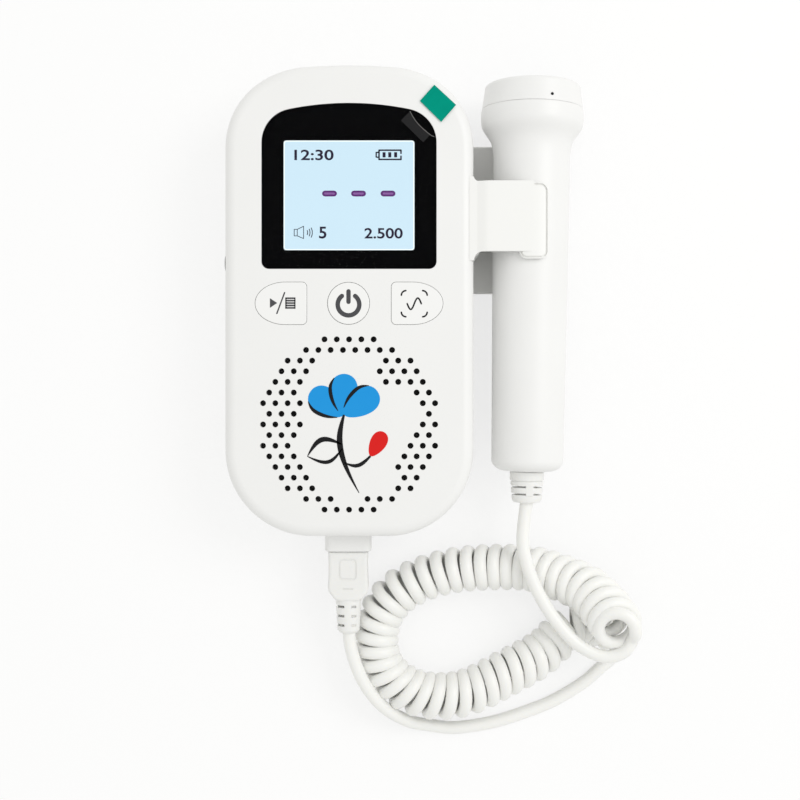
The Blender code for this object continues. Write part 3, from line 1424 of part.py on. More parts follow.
def board_rail(name, side):
    """A grooved rib inside the handle that carries one edge of the probe's board."""
    foot = PROBE_BOARD_TOP_Y - PROBE_BOARD_LENGTH
    top = PROBE_FLARE_END_Y - EMBED
    inner = handle_radius(foot) - HANDLE_WALL
    near, far = side * (inner - BOARD_RAIL_DEPTH), side * (inner + EMBED)
    half = BOARD_RAIL_WIDTH / 2
    mesh = box(name, (min(near, far), foot, -half), (max(near, far), top, half))
    rail = make_cutter(name, mesh)
    groove_half = PROBE_BOARD_THICKNESS / 2 + GAP
    groove_x = side * (PROBE_BOARD_WIDTH / 2 + GAP)
    low = (min(0, groove_x), foot - OVERRUN, -groove_half)
    high = (max(0, groove_x), top + OVERRUN, groove_half)
    groove = make_cutter(name + " groove", box(name + " groove", low, high))
    cut(rail, groove)
    for thing in (rail, groove):
        thing.parent = PROBE_FRAME
    return rail


def make_probe_cap():
    """The head's cap, with a spigot inside the handle's mouth and a window for the acoustic face."""
    face = PROBE_FACE_Y
    seam = PROBE_SEAM_Y + GAP
    spigot = CAP_RADIUS - HANDLE_WALL - GAP
    hole = FACE_RADIUS + GAP
    profile = [(hole, face)]
    for angle in np.linspace(QUARTER_TURN, 0, RIM_STEPS + 1):
        across, along = CAP_FILLET * math.cos(angle), CAP_FILLET * math.sin(angle)
        profile.append((CAP_RIM_RADIUS - CAP_FILLET + across, face - CAP_FILLET + along))
    profile += [
        (CAP_RADIUS, seam),
        (spigot, seam),
        (spigot, seam - CAP_SPIGOT),
        (spigot - CAP_WALL / 2, seam - CAP_SPIGOT),
        (spigot - CAP_WALL / 2, face - FACE_THICKNESS - GAP - CAP_WALL / 2),
        (hole, face - FACE_THICKNESS - GAP - CAP_WALL / 2),
    ]
    cap = turned("probe_cap", profile, "white_abs", PARTS, PROBE_STEPS, closed=True)
    place_on_probe(cap)


def make_seal():
    """A rubber ring in the angle under the cap's spigot."""
    radius = CAP_RADIUS - HANDLE_WALL - GAP - SEAL_WIRE / 2
    level = PROBE_SEAM_Y - CAP_SPIGOT - GAP - SEAL_WIRE / 2
    angles = np.linspace(QUARTER_TURN, QUARTER_TURN - FULL_TURN, SEAL_SIDES + 1)[:-1]
    profile = [(radius + SEAL_WIRE / 2 * math.cos(a), level + SEAL_WIRE / 2 * math.sin(a)) for a in angles]
    seal = turned("cap_seal", profile, "seal_rubber", PARTS, ROUND_STEPS, closed=True)
    place_on_probe(seal)


def make_transducer():
    face = PROBE_FACE_Y
    low = face - FACE_THICKNESS
    profile = ((0, face), (FACE_RADIUS, face), (FACE_RADIUS, low), (0, low))
    lens = turned("transducer_face", profile, "grey_face", PARTS, PROBE_STEPS)
    place_on_probe(lens)
    crystal_top = low - GAP
    for side, label in ((-1, "sending"), (1, "receiving")):
        name = label + "_crystal"
        disc = cylinder(name, CRYSTAL_RADIUS, (0, crystal_top, 0), (0, crystal_top - CRYSTAL_THICKNESS, 0))
        crystal = add_part(name, disc, "ceramic", PROBE_FRAME)
        near, far = side * CRYSTAL_SPLIT / 2, -side * (CRYSTAL_RADIUS + OVERRUN)
        reach = CRYSTAL_RADIUS + OVERRUN
        low_corner = (min(near, far), crystal_top - OVERRUN, -reach)
        half = box(name + " half", low_corner, (max(near, far), crystal_top + EMBED, reach))
        cutter = make_cutter(name + " half", half)
        cutter.parent = PROBE_FRAME
        cut(crystal, cutter)


def make_probe_board():
    half = PROBE_BOARD_THICKNESS / 2
    mesh = box(
        "probe_board",
        (-PROBE_BOARD_WIDTH / 2, PROBE_BOARD_TOP_Y - PROBE_BOARD_LENGTH, -half),
        (PROBE_BOARD_WIDTH / 2, PROBE_BOARD_TOP_Y, half),
    )
    add_part("probe_board", mesh, "green_board", PROBE_FRAME)


def make_strain_relief():
    """A collar and rings on a core that goes through the handle's foot to a flange inside."""
    radii = RELIEF_RADII
    top = PROBE_FOOT_Y - GAP
    inside = PROBE_FOOT_Y + HANDLE_WALL + GAP
    end = top - RELIEF_LENGTH
    profile = [
        (0, inside + RELIEF_FLANGE_THICKNESS),
        (RELIEF_FLANGE_RADIUS, inside + RELIEF_FLANGE_THICKNESS),
        (RELIEF_FLANGE_RADIUS, inside),
        (RELIEF_NECK_RADIUS, inside),
        (RELIEF_NECK_RADIUS, top),
        (radii[0], top),
        (radii[0], top - RELIEF_COLLAR),
    ]
    level = top - RELIEF_COLLAR
    for radius in radii[1:3]:
        profile += [(radius, level), (radius, level - RELIEF_RING)]
        core = radius - RELIEF_GROOVE_DEPTH
        profile += [(core, level - RELIEF_RING), (core, level - RELIEF_RING - RELIEF_GROOVE)]
        level -= RELIEF_RING + RELIEF_GROOVE
    last = radii[3]
    rim = RELIEF_GROOVE_DEPTH
    profile += [(last, level), (last, end + rim), (last - rim, end), (0, end)]
    relief = turned("probe_strain_relief", profile, "white_pvc", PARTS)
    place_on_probe(relief)


def relief_end():
    return along_probe(PROBE_FOOT_Y - GAP - RELIEF_LENGTH)


# Holder
def cradle_end_y():
    return PROBE_FLARE_END_Y - CRADLE_FROM_FLARE


def along_holder(name, outline, foot, top):
    """An outline drawn in X and Z, run along Y."""
    mesh = prism(name, outline, 0, top - foot)
    mesh.transform(end_on((0, top, 0)))
    return mesh


def make_holder():
    """A clip on the case's right side: a plate, a cradle below the handle and a short arm over it."""
    inner = CASE_WIDTH / 2 + GAP
    outer = inner + HOLDER_WALL
    top = HOLDER_ARM_LEVEL
    plate_top = HOLDER_PLATE_LEVEL + HOLDER_PLATE_THICKNESS
    section = [(inner, HOLDER_PLATE_LEVEL), (HOLDER_PLATE_END_X, HOLDER_PLATE_LEVEL)]
    section += [(HOLDER_PLATE_END_X, plate_top), (inner, plate_top)]
    plate = along_holder("probe_holder", section, HOLDER_PLATE_FOOT_Y, HOLDER_PLATE_TOP_Y)
    holder = add_part("probe_holder", plate, "white_abs")
    join(holder, cradle_block(), arm_block(inner, outer, top), lip_block())
    cut(holder, probe_channel(), arm_relief(outer))
    for number, y in enumerate(HOLDER_SCREW_YS, 1):
        label = f"holder boss {number}"
        level = HOLDER_SCREW_LEVEL
        end = (outer + HOLDER_BOSS_LENGTH, y, level)
        boss = cylinder(label, HOLDER_BOSS_RADIUS, (outer - EMBED, y, level), end, SMALL_STEPS)
        join(holder, make_cutter(label, boss))
        depth = inner + HOLDER_SCREW_LENGTH - CASE_WALL
        start, stop = (inner - OVERRUN, y, level), (depth, y, level)
        bore = cylinder(label + " bore", SCREW_SHANK + GAP, start, stop, SMALL_STEPS)
        cut(holder, make_cutter(label + " bore", bore))


def cradle_block():
    """The trough's outside: an arc round the probe that starts on the plate, solid up to the channel."""
    radius = HANDLE_TOP_RADIUS + GAP + CRADLE_WALL
    centre = (along_probe((cradle_end_y() + CRADLE_FOOT_Y) / 2).x, PROBE_LEVEL)
    start_x = HOLDER_PLATE_END_X - 2 * CRADLE_WALL
    start = math.asin((start_x - centre[0]) / radius)
    lower = [
        (centre[0] + radius * math.sin(a), centre[1] - radius * math.cos(a))
        for a in np.linspace(start, CRADLE_REACH, CRADLE_STEPS + 1)
    ]
    inner_radius = radius - CRADLE_WALL - EMBED
    upper = [
        (centre[0] + inner_radius * math.sin(a), centre[1] - inner_radius * math.cos(a))
        for a in np.linspace(CRADLE_REACH, start, CRADLE_STEPS + 1)
    ]
    foot = [(start_x, HOLDER_PLATE_LEVEL), (centre[0], HOLDER_PLATE_LEVEL)]
    outline = [foot[0], foot[1]] + [p for p in lower if p[0] > centre[0] + CRADLE_WALL] + upper
    mesh = along_holder("holder cradle", outline, CRADLE_FOOT_Y, cradle_end_y())
    return make_cutter("holder cradle", mesh)


def arm_block(inner, outer, top):
    """The riser on the case and the arm's flat top, rolled into each other at the outer edge."""
    corner = HOLDER_CORNER
    low = PROBE_LEVEL + HOLDER_WALL
    outline = arc((inner + corner, top - corner), corner, QUARTER_TURN, HALF_TURN, RIM_STEPS)
    outline += [(inner, HOLDER_PLATE_LEVEL), (outer, HOLDER_PLATE_LEVEL)]
    outline += [(outer, low), (HOLDER_ARM_END_X, low), (HOLDER_ARM_END_X, top)]
    mesh = along_holder("holder arm", outline, HOLDER_ARM_FOOT_Y, HOLDER_ARM_TOP_Y)
    return make_cutter("holder arm", mesh)


def lip_block():
    """The lip at the arm's end, a little longer than the arm, whose corners are rounded."""
    outline = rounded_rectangle(
        HOLDER_LIP_END_X - HOLDER_LIP_START_X,
        HOLDER_LIP_TOP_Y - HOLDER_LIP_FOOT_Y,
        HOLDER_LIP_CORNER,
        ((HOLDER_LIP_END_X + HOLDER_LIP_START_X) / 2, (HOLDER_LIP_TOP_Y + HOLDER_LIP_FOOT_Y) / 2),
    )
    mesh = prism("holder lip", outline, PROBE_LEVEL + HOLDER_WALL, HOLDER_ARM_LEVEL)
    lip = make_cutter("holder lip", mesh)
    radius = HANDLE_TOP_RADIUS + GAP + HOLDER_LIP_WALL
    start, end = (0, HOLDER_PLATE_FOOT_Y, 0), (0, HOLDER_PLATE_TOP_Y, 0)
    shape = make_cutter("lip shape", cylinder("lip shape", radius, start, end, PROBE_STEPS))
    shape.matrix_world = probe_matrix()
    combine(lip, shape, "INTERSECT")
    return lip


def probe_channel():
    """The room the handle slides through, on the probe's own leaning axis."""
    reach = OVERRUN
    mesh = cylinder(
        "probe channel",
        HANDLE_TOP_RADIUS + GAP,
        (0, HOLDER_PLATE_FOOT_Y - reach, 0),
        (0, HOLDER_PLATE_TOP_Y + reach, 0),
        PROBE_STEPS,
    )
    channel = make_cutter("probe channel", mesh)
    channel.matrix_world = probe_matrix()
    return channel


def arm_relief(outer):
    """Takes the arm block's inside away between the riser and the probe, leaving one wall thickness."""
    top = HOLDER_ARM_LEVEL - HOLDER_WALL
    far_x, middle = PROBE_X + HANDLE_TOP_RADIUS * 2, PROBE_LEVEL + HANDLE_TOP_RADIUS / 2
    outline = [(outer, PROBE_LEVEL), (far_x, PROBE_LEVEL), (far_x, middle)]
    outline += [(PROBE_X, middle), (PROBE_X - HANDLE_TOP_RADIUS / 2, top), (outer, top)]
    mesh = along_holder("arm relief", outline, HOLDER_PLATE_FOOT_Y - OVERRUN, HOLDER_PLATE_TOP_Y + OVERRUN)
    return make_cutter("arm relief", mesh)


def make_holder_screws():
    for number, y in enumerate(HOLDER_SCREW_YS, 1):
        head_x = CASE_WIDTH / 2 - CASE_WALL - GAP - HOLDER_SCREW_HEAD_HEIGHT
        place = (head_x, y, HOLDER_SCREW_LEVEL)
        name = f"holder_screw_{number}"
        make_screw(name, SCREW_HEAD, HOLDER_SCREW_HEAD_HEIGHT, HOLDER_SCREW_LENGTH, place, (1, 0, 0))


# Cord
def spline_through(points):
    """A natural cubic spline through points, as a function of the distance along them, and its length."""
    knots = np.array([tuple(p) for p in points], float)
    gaps = np.linalg.norm(np.diff(knots, axis=0), axis=1)
    at = np.concatenate([[0], np.cumsum(gaps)])
    count = len(knots)
    matrix, right = np.eye(count), np.zeros((count, 3))
    for i in range(1, count - 1):
        matrix[i, i - 1 : i + 2] = gaps[i - 1], 2 * (gaps[i - 1] + gaps[i]), gaps[i]
        right[i] = 6 * ((knots[i + 1] - knots[i]) / gaps[i] - (knots[i] - knots[i - 1]) / gaps[i - 1])
    bends = np.linalg.solve(matrix, right)

    def place(distance):
        i = int(np.clip(np.searchsorted(at, distance) - 1, 0, count - 2))
        a, b = (at[i + 1] - distance) / gaps[i], (distance - at[i]) / gaps[i]
        curve = ((a**3 - a) * bends[i] + (b**3 - b) * bends[i + 1]) * gaps[i] ** 2 / 6
        return a * knots[i] + b * knots[i + 1] + curve

    return place, at[-1]


def evenly_spaced(points, spacing):
    """The spline through points, read at even steps of about the spacing."""
    place, length = spline_through(points)
    fine = np.array([place(d) for d in np.linspace(0, length, 40 * len(points))])
    along = np.concatenate([[0], np.cumsum(np.linalg.norm(np.diff(fine, axis=0), axis=1))])
    count = max(2, round(along[-1] / spacing) + 1)
    at = np.linspace(0, along[-1], count)
    return np.stack([np.interp(at, along, fine[:, k]) for k in range(3)], axis=1)


def carried_frames(line):
    """Tangents of a line, and a side vector carried along it without twist."""
    tangents = np.gradient(line, axis=0)
    tangents /= np.linalg.norm(tangents, axis=1)[:, None]
    side = np.cross(tangents[0], (0, 0, 1))
    side /= np.linalg.norm(side)
    sides = [side]
    for tangent in tangents[1:]:
        side = side - tangent * side.dot(tangent)
        side /= np.linalg.norm(side)
        sides.append(side)
    return tangents, np.array(sides)


def curl_turns(line, tangents):
    """Turns counted along the axis: laid close where it is straight, and wider apart where it bends."""
    steps = np.linalg.norm(np.diff(line, axis=0), axis=1)
    bends = np.linalg.norm(np.diff(tangents, axis=0), axis=1) / steps
    window = np.ones(round(CURL_PITCH / AXIS_SPACING)) / round(CURL_PITCH / AXIS_SPACING)
    reach = len(window) // 2
    bends = np.convolve(np.pad(bends, reach, "edge"), window, "same")[reach:][: len(steps)]
    inner_share = 1 - CURL_RADIUS * bends
    pitches = np.maximum(CURL_PITCH, (CORD_DIAMETER + CURL_CLEARANCE) / inner_share)
    return np.concatenate([[0], np.cumsum(steps / pitches)])


def phase_of(direction, side, up):
    """The angle round the axis at which a point lies towards a direction."""
    return math.atan2(np.dot(direction, up), np.dot(direction, side))


def curl_helix():
    """The left-handed helix as a function of the turn, and its number of turns, both ends' sides fixed."""
    line = evenly_spaced(CURL_AXIS_ROUTE, AXIS_SPACING)
    tangents, sides = carried_frames(line)
    ups = np.cross(tangents, sides)
    first = phase_of(CURL_START_SIDE, sides[0], ups[0])
    last = phase_of(CURL_END_SIDE, sides[-1], ups[-1])
    share = ((first - last) / FULL_TURN) % 1
    turns = curl_turns(line, tangents)
    total = round(turns[-1] - share) + share
    turns *= total / turns[-1]
    rows = np.hstack([line, sides, ups])

    def place(turn):
        row = np.array([np.interp(turn, turns, rows[:, k]) for k in range(9)])
        angle = first - FULL_TURN * turn
        radius = CURL_RADIUS + CURL_FLARE * max(0, 1 - turn / CURL_FLARE_TURN_SHARE) ** 2
        return row[:3] + radius * (row[3:6] * math.cos(angle) + row[6:] * math.sin(angle))

    return place, total


def curl_points():
    """The curls' line, with a straight run of one diameter at both ends."""
    place, total = curl_helix()
    turns = np.linspace(0, total, round(total * CURL_STEPS) + 1)
    points = [place(turn) for turn in turns]
    nudge = turns[1] / CURL_STEPS
    start = straight_run(points[0], place(nudge))
    end = straight_run(points[-1], place(total - nudge))
    return np.array([start, *points, end])


def straight_run(end, before):
    return end + (end - before) / np.linalg.norm(end - before) * CORD_DIAMETER


def least_gap(points, diameter):
    """The least distance between the tube's surfaces at points that aren't neighbours along it."""
    fine = []
    for a, b in zip(points[:-1], points[1:]):
        fine += [a + (b - a) * t for t in (0, 0.25, 0.5, 0.75)]
    fine = np.array(fine)
    skip = 4 * CURL_STEPS // 2
    least = math.inf
    for i in range(len(fine) - skip):
        least = min(least, np.linalg.norm(fine[i + skip :] - fine[i], axis=1).min())
    return least - diameter


def lead_points(route):
    """A lead's line, read at even steps between the short straight runs at its ends."""
    fine = evenly_spaced(route, AXIS_SPACING)
    run = round(CORD_DIAMETER / AXIS_SPACING)
    count = round(len(fine) * AXIS_SPACING / (ROUTE_SPACING_SHARE * CORD_DIAMETER))
    chosen = np.linspace(run, len(fine) - 1 - run, count).round().astype(int)
    points = np.vstack([fine[0], fine[chosen], fine[-1]])
    print("Lead length, mm:", round(np.linalg.norm(np.diff(fine, axis=0), axis=1).sum() * 1000, 1))
    return points


def make_cord():
    coil = curl_points()
    print("Least gap between curls, mm:", round(least_gap(coil, CORD_DIAMETER) * 1000, 3))
    print("Curls:", round(len(coil) / CURL_STEPS, 1))
    print("Curled wire length, mm:", round(np.linalg.norm(np.diff(coil, axis=0), axis=1).sum() * 1000, 1))
    tube("cord_coil", coil, CORD_DIAMETER, CURL_SIDE_STEPS, "white_pvc")
    down = (probe_matrix().to_3x3() @ Vector((0, -1, 0))).normalized()
    start = relief_end() + down * GAP
    route = [start, start + down * CORD_DIAMETER, *PROBE_LEAD_ROUTE, *coil_meeting(coil[0], coil[1])]
    tube("cord_lead_probe", lead_points(route), CORD_DIAMETER, CORD_SIDE_STEPS, "white_pvc")
    end = boot_end() - Vector((0, GAP, 0))
    meeting = reversed(coil_meeting(coil[-1], coil[-2]))
    route = [*meeting, *PLUG_LEAD_ROUTE, end - Vector((0, CORD_DIAMETER, 0)), end]
    tube("cord_lead_plug", lead_points(route), CORD_DIAMETER, CORD_SIDE_STEPS, "white_pvc")


def coil_meeting(end, before):
    """The last two points of a lead that meets the end of the curls face to face."""
    run = Vector(end - before).normalized()
    face = Vector(end) + run * GAP
    return face + run * CORD_DIAMETER, face


clear_scene()
PARTS = new_collection("fetal doppler")
GUIDES = new_collection("cutters")
MATERIALS = make_materials()
PROBE_FRAME = make_frame("probe slide", (PROBE_X, 0, PROBE_LEVEL), -PROBE_LEAN)
DOOR_FRAME = make_frame("battery door slide", (0, BAY_TOP_Y, 0))

make_front_shell()
make_rear_shell()
make_battery_door(DOOR_FRAME)
make_case_screws()
make_window()
make_display()
make_main_board()
make_face_buttons()
make_side_controls()
make_speaker()
make_batteries()
make_contacts()
make_socket()
make_plug()
make_probe_handle()
make_probe_cap()
make_seal()
make_transducer()
make_probe_board()
make_strain_relief()
make_holder()
make_holder_screws()
make_cord()
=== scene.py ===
# %% [markdown]
# # A pocket fetal doppler, dressed for a close look
#
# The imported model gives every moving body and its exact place. This file gives the same object its
# finer shapes and its materials: moulded plastic, a glossy window, a lit display, printed symbols and
# a curly cord. Each step says what the piece is on the real object, and why it is made the way it is.

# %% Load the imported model
import math

import bmesh
import bpy
import numpy as np
from mathutils import Matrix, Vector


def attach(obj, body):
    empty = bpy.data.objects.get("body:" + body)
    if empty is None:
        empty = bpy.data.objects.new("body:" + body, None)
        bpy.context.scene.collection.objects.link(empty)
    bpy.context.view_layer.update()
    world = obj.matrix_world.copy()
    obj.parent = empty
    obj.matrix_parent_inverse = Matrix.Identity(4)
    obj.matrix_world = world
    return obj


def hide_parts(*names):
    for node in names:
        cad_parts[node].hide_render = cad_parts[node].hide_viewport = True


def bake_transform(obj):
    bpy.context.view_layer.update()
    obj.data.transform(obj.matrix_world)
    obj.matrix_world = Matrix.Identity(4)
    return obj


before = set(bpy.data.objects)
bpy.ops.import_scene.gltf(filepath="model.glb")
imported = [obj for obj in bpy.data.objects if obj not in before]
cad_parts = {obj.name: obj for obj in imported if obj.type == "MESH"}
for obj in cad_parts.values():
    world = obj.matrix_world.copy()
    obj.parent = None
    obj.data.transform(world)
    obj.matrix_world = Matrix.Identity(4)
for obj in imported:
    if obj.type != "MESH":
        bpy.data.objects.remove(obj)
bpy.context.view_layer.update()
MM = 0.001
TURN = 2 * math.pi
QUARTER = math.pi / 2

# %% [markdown]
# The camera comes first, because everything is judged through it. The object lies on a table and is
# seen from straight above, 0.4 m up, so the sides of the taller pieces lean outwards a little.

# %% Camera
IMAGE_PIXELS = 800
FOCAL_PIXELS = 1241
SENSOR_WIDTH = 36
CAMERA_X, CAMERA_Y, CAMERA_HEIGHT = 15.2, -29.8, 400
eye = bpy.data.cameras.new("camera")
eye.sensor_width = SENSOR_WIDTH
eye.lens = eye.sensor_width * FOCAL_PIXELS / IMAGE_PIXELS
camera = bpy.data.objects.new("camera", eye)
camera.location = (CAMERA_X * MM, CAMERA_Y * MM, CAMERA_HEIGHT * MM)
bpy.context.scene.collection.objects.link(camera)
bpy.context.scene.camera = camera
bpy.context.scene.view_settings.view_transform = "Standard"
print("Lens, mm:", round(eye.lens, 2))

# %% [markdown]
# Colours are written as the hex values that a screen shows, and the shader wants linear numbers, so
# one function turns one into the other. A second small function adds a node with its settings and
# links, and keeps every material readable as a short list.


# %% Colour and node helpers
def linear(hex_colour):
    """A screen colour as the linear red, green, blue and alpha that a shader takes."""
    parts = [int(hex_colour[i : i + 2], 16) / 255 for i in (1, 3, 5)]
    return [p / 12.92 if p <= 0.04045 else ((p + 0.055) / 1.055) ** 2.4 for p in parts] + [1.0]


def add_node(tree, kind, settings=None, values=None, links=None):
    """Adds a node: its settings by name, its socket values, and links into its sockets from others."""
    node = tree.nodes.new(kind)
    for name, value in (settings or {}).items():
        setattr(node, name, value)
    for name, value in (values or {}).items():
        node.inputs[name].default_value = value
    for name, source in (links or {}).items():
        tree.links.new(source, node.inputs[name])
    return node


def new_material(name, colour, roughness, **values):
    """A Principled material with its plain values on the shader's own sockets."""
    material = bpy.data.materials.new(name)
    material.use_nodes = True
    shader = material.node_tree.nodes["Principled BSDF"]
    shader.inputs["Base Color"].default_value = linear(colour)
    shader.inputs["Roughness"].default_value = roughness
    for label, value in values.items():
        shader.inputs[label.replace("_", " ")].default_value = value
    return material, material.node_tree, shader


def grain(tree, shader, size_mm, height_mm, detail=2.0, roughness_span=None):
    """A fine uneven surface: bumps of one size in millimetres, and gloss that varies with them."""
    place = add_node(tree, "ShaderNodeTexCoord")
    noise = add_node(
        tree,
        "ShaderNodeTexNoise",
        values={"Scale": 1 / (size_mm * MM), "Detail": detail, "Roughness": 0.55},
        links={"Vector": place.outputs["Object"]},
    )
    bump = add_node(
        tree,
        "ShaderNodeBump",
        values={"Strength": 1.0, "Distance": height_mm * MM},
        links={"Height": noise.outputs["Fac"]},
    )
    tree.links.new(bump.outputs["Normal"], shader.inputs["Normal"])
    if roughness_span:
        span = add_node(
            tree,
            "ShaderNodeMapRange",
            values={"To Min": roughness_span[0], "To Max": roughness_span[1]},
            links={"Value": noise.outputs["Fac"]},
        )
        tree.links.new(span.outputs["Result"], shader.inputs["Roughness"])
    return place, noise


def mottle(tree, shader, place, size_mm, light, dark):
    """A slow change between two close tones over the surface."""
    noise = add_node(
        tree,
        "ShaderNodeTexNoise",
        values={"Scale": 1 / (size_mm * MM), "Detail": 1.0},
        links={"Vector": place.outputs["Object"]},
    )
    mix = add_node(tree, "ShaderNodeMix", {"data_type": "RGBA"}, links={"Factor": noise.outputs["Fac"]})
    mix.inputs[6].default_value = linear(light)
    mix.inputs[7].default_value = linear(dark)
    tree.links.new(mix.outputs[2], shader.inputs["Base Color"])


# %% [markdown]
# The case, the holder and the probe are injection-moulded ABS. The mould was spark-eroded to a fine
# satin grain, which spreads the highlights and hides fingerprints. The grain is about 0.25 mm across
# and a few thousandths of a millimetre high, too fine to see here except as a soft sheen. The same
# function makes other moulded or coated finishes, which differ in colour, gloss and grain.


# %% Moulded plastics
def moulded_abs(name, light, dark, roughness, grain_mm=0.25):
    material, tree, shader = new_material(name, light, roughness, IOR=1.52)
    spread = (roughness - 0.05, roughness + 0.07)
    place, _ = grain(tree, shader, grain_mm, 0.006, roughness_span=spread)
    mottle(tree, shader, place, 18, light, dark)
    return material


CASE_ABS = moulded_abs("moulded_white_abs_case", "#f3f3f2", "#f0f0ef", 0.42)
PROBE_ABS = moulded_abs("moulded_white_abs_probe", "#f3f3f2", "#efefee", 0.40)
HOLDER_ABS = moulded_abs("moulded_white_abs_holder", "#f6f6f4", "#f3f3f1", 0.42)
BUTTON_ABS = moulded_abs("polished_white_abs_buttons", "#f6f6f5", "#f3f3f2", 0.30, 0.4)
BLACK_ABS = moulded_abs("moulded_black_abs", "#1b1b1d", "#17171a", 0.5)
PLASTICS = (CASE_ABS, PROBE_ABS, HOLDER_ABS, BUTTON_ABS, BLACK_ABS)
print("Moulded plastics:", ", ".join(material.name for material in PLASTICS))

# %% [markdown]
# The cord's jacket, the plug's shell, the boot and the strain relief are soft PVC. Its skin wavers a
# little more than the case's, and light goes a short way into it.


# %% Soft PVC
def soft_pvc(name, light, dark, roughness):
    material, tree, shader = new_material(name, light, roughness, IOR=1.53)
    shader.inputs["Subsurface Weight"].default_value = 0.08
    shader.inputs["Subsurface Radius"].default_value = (0.0012, 0.0011, 0.0009)
    shader.inputs["Subsurface Scale"].default_value = 1.0
    place, _ = grain(tree, shader, 0.5, 0.01, roughness_span=(roughness - 0.06, roughness + 0.08))
    mottle(tree, shader, place, 9, light, dark)
    return material


CORD_PVC = soft_pvc("extruded_white_pvc_cord", "#f8f8f5", "#f5f5f2", 0.36)
BOOT_PVC = soft_pvc("moulded_white_pvc_boot", "#f2f2f0", "#eeeeec", 0.42)
print("Soft plastics:", CORD_PVC.name, BOOT_PVC.name)

# %% [markdown]
# The window is clear acrylic printed black from behind, so its gloss sits on top of a deep black.
# The display under it is lit evenly from behind: pale blue, with a narrow white edge. A clear film
# lies over the window. The tape on it and its cut edge show only over the black, so their materials
# are the greys that are seen there: painted sheen on the tape and a painted highlight along the cut
# edge. These opaque greys stay crisp where a faint see-through one would blur.

# %% Window, display and films
WINDOW_BLACK, tree, shader = new_material("acrylic_window_printed_black", "#020203", 0.05, IOR=1.49)
grain(tree, shader, 9, 0.004, detail=0.0)
shader.inputs["Specular IOR Level"].default_value = 0.03

DISPLAY_BLUE, tree, shader = new_material("lit_display_pale_blue", "#abc0cc", 0.18, IOR=1.49)
shader.inputs["Specular IOR Level"].default_value = 0.1
shader.inputs["Emission Color"].default_value = linear("#cfecfc")
shader.inputs["Emission Strength"].default_value = 0.42
place, _ = grain(tree, shader, 6, 0.003, detail=0.0)
mottle(tree, shader, place, 30, "#aec3cf", "#a8bdc9")

DISPLAY_EDGE, tree, shader = new_material("lit_display_white_edge", "#dfe9ec", 0.25)
shader.inputs["Specular IOR Level"].default_value = 0.1
shader.inputs["Emission Color"].default_value = linear("#eaf8fc")
shader.inputs["Emission Strength"].default_value = 0.42
grain(tree, shader, 3, 0.002)

CLEAR_FILM, tree, shader = new_material("clear_protective_film", "#3c3c3c", 0.3, IOR=1.45)
shader.inputs["Specular IOR Level"].default_value = 0.02
shader.inputs["Alpha"].default_value = 0.012
grain(tree, shader, 4, 0.02)
# Painted sheen: the clear tape is an opaque grey, the grey that its reflection makes over the black.
TAPE_SHEEN_GREY, tree, shader = new_material("clear_tape_painted_sheen", "#29292a", 0.3, IOR=1.47)
shader.inputs["Specular IOR Level"].default_value = 0.02
grain(tree, shader, 2, 0.02)
# Painted highlight: the film's cut edge is an opaque light grey, the glint that it catches over the black.
FILM_EDGE_HIGHLIGHT, tree, shader = new_material("film_cut_edge_painted_highlight", "#8c8c8a", 0.3, IOR=1.47)
shader.inputs["Specular IOR Level"].default_value = 0.05
grain(tree, shader, 1, 0.01)
GREEN_FILM, tree, shader = new_material("printed_green_film", "#009580", 0.5, IOR=1.48)
shader.inputs["Specular IOR Level"].default_value = 0.03
place, _ = grain(tree, shader, 2.5, 0.02, roughness_span=(0.3, 0.45))
mottle(tree, shader, place, 4, "#009983", "#00907b")
FILMS = (CLEAR_FILM, TAPE_SHEEN_GREY, FILM_EDGE_HIGHLIGHT, GREEN_FILM)
print("Window, display and films:", 3 + len(FILMS), "finishes")

# %% [markdown]
# Symbols are pad-printed: a layer of ink about 0.02 mm thick, a little rougher than the plastic under
# it and with crisp edges. The display's dark segments are just as flat, so they are made the same way.


# %% Inks
def ink(name, light, dark, roughness=0.5):
    material, tree, shader = new_material(name, light, roughness)
    shader.inputs["Specular IOR Level"].default_value = 0.15
    place, _ = grain(tree, shader, 0.3, 0.004, roughness_span=(roughness - 0.06, roughness + 0.06))
    mottle(tree, shader, place, 5, light, dark)
    return material


GREY_INK = ink("printed_grey_ink", "#4f4f52", "#4a4a4d")
DISPLAY_INK = ink("display_dark_segments", "#221a30", "#281f38", 0.3)
PURPLE_INK = ink("display_purple_segments", "#5f2f74", "#653579", 0.3)
MAUVE_INK = ink("display_mauve_segments", "#8e5fa3", "#9366a8", 0.3)
BLUE_INK = ink("printed_blue_ink", "#1b96e0", "#2199e2")
RED_INK = ink("printed_red_ink", "#e01f1c", "#d81c1a")
BLACK_INK = ink("printed_black_ink", "#101012", "#161618")
print("Inks:", sum("ink" in m.name or "segments" in m.name for m in bpy.data.materials))

# %% [markdown]
# The metals are few and mostly hidden: steel screws and springs, nickel-plated contacts. A metal
# keeps the default IOR and takes its colour from its reflections. Behind the grille lies a black
# woven sheet, painted shade for the dark inside the case, whose weave is two crossing sets of waves
# as far apart as its threads.


# %% Metals, board, rubber and cloth
def plated_metal(name, colour, roughness):
    material, tree, shader = new_material(name, colour, roughness, Metallic=1.0)
    grain(tree, shader, 0.4, 0.004, roughness_span=(roughness - 0.08, roughness + 0.1))
    return material


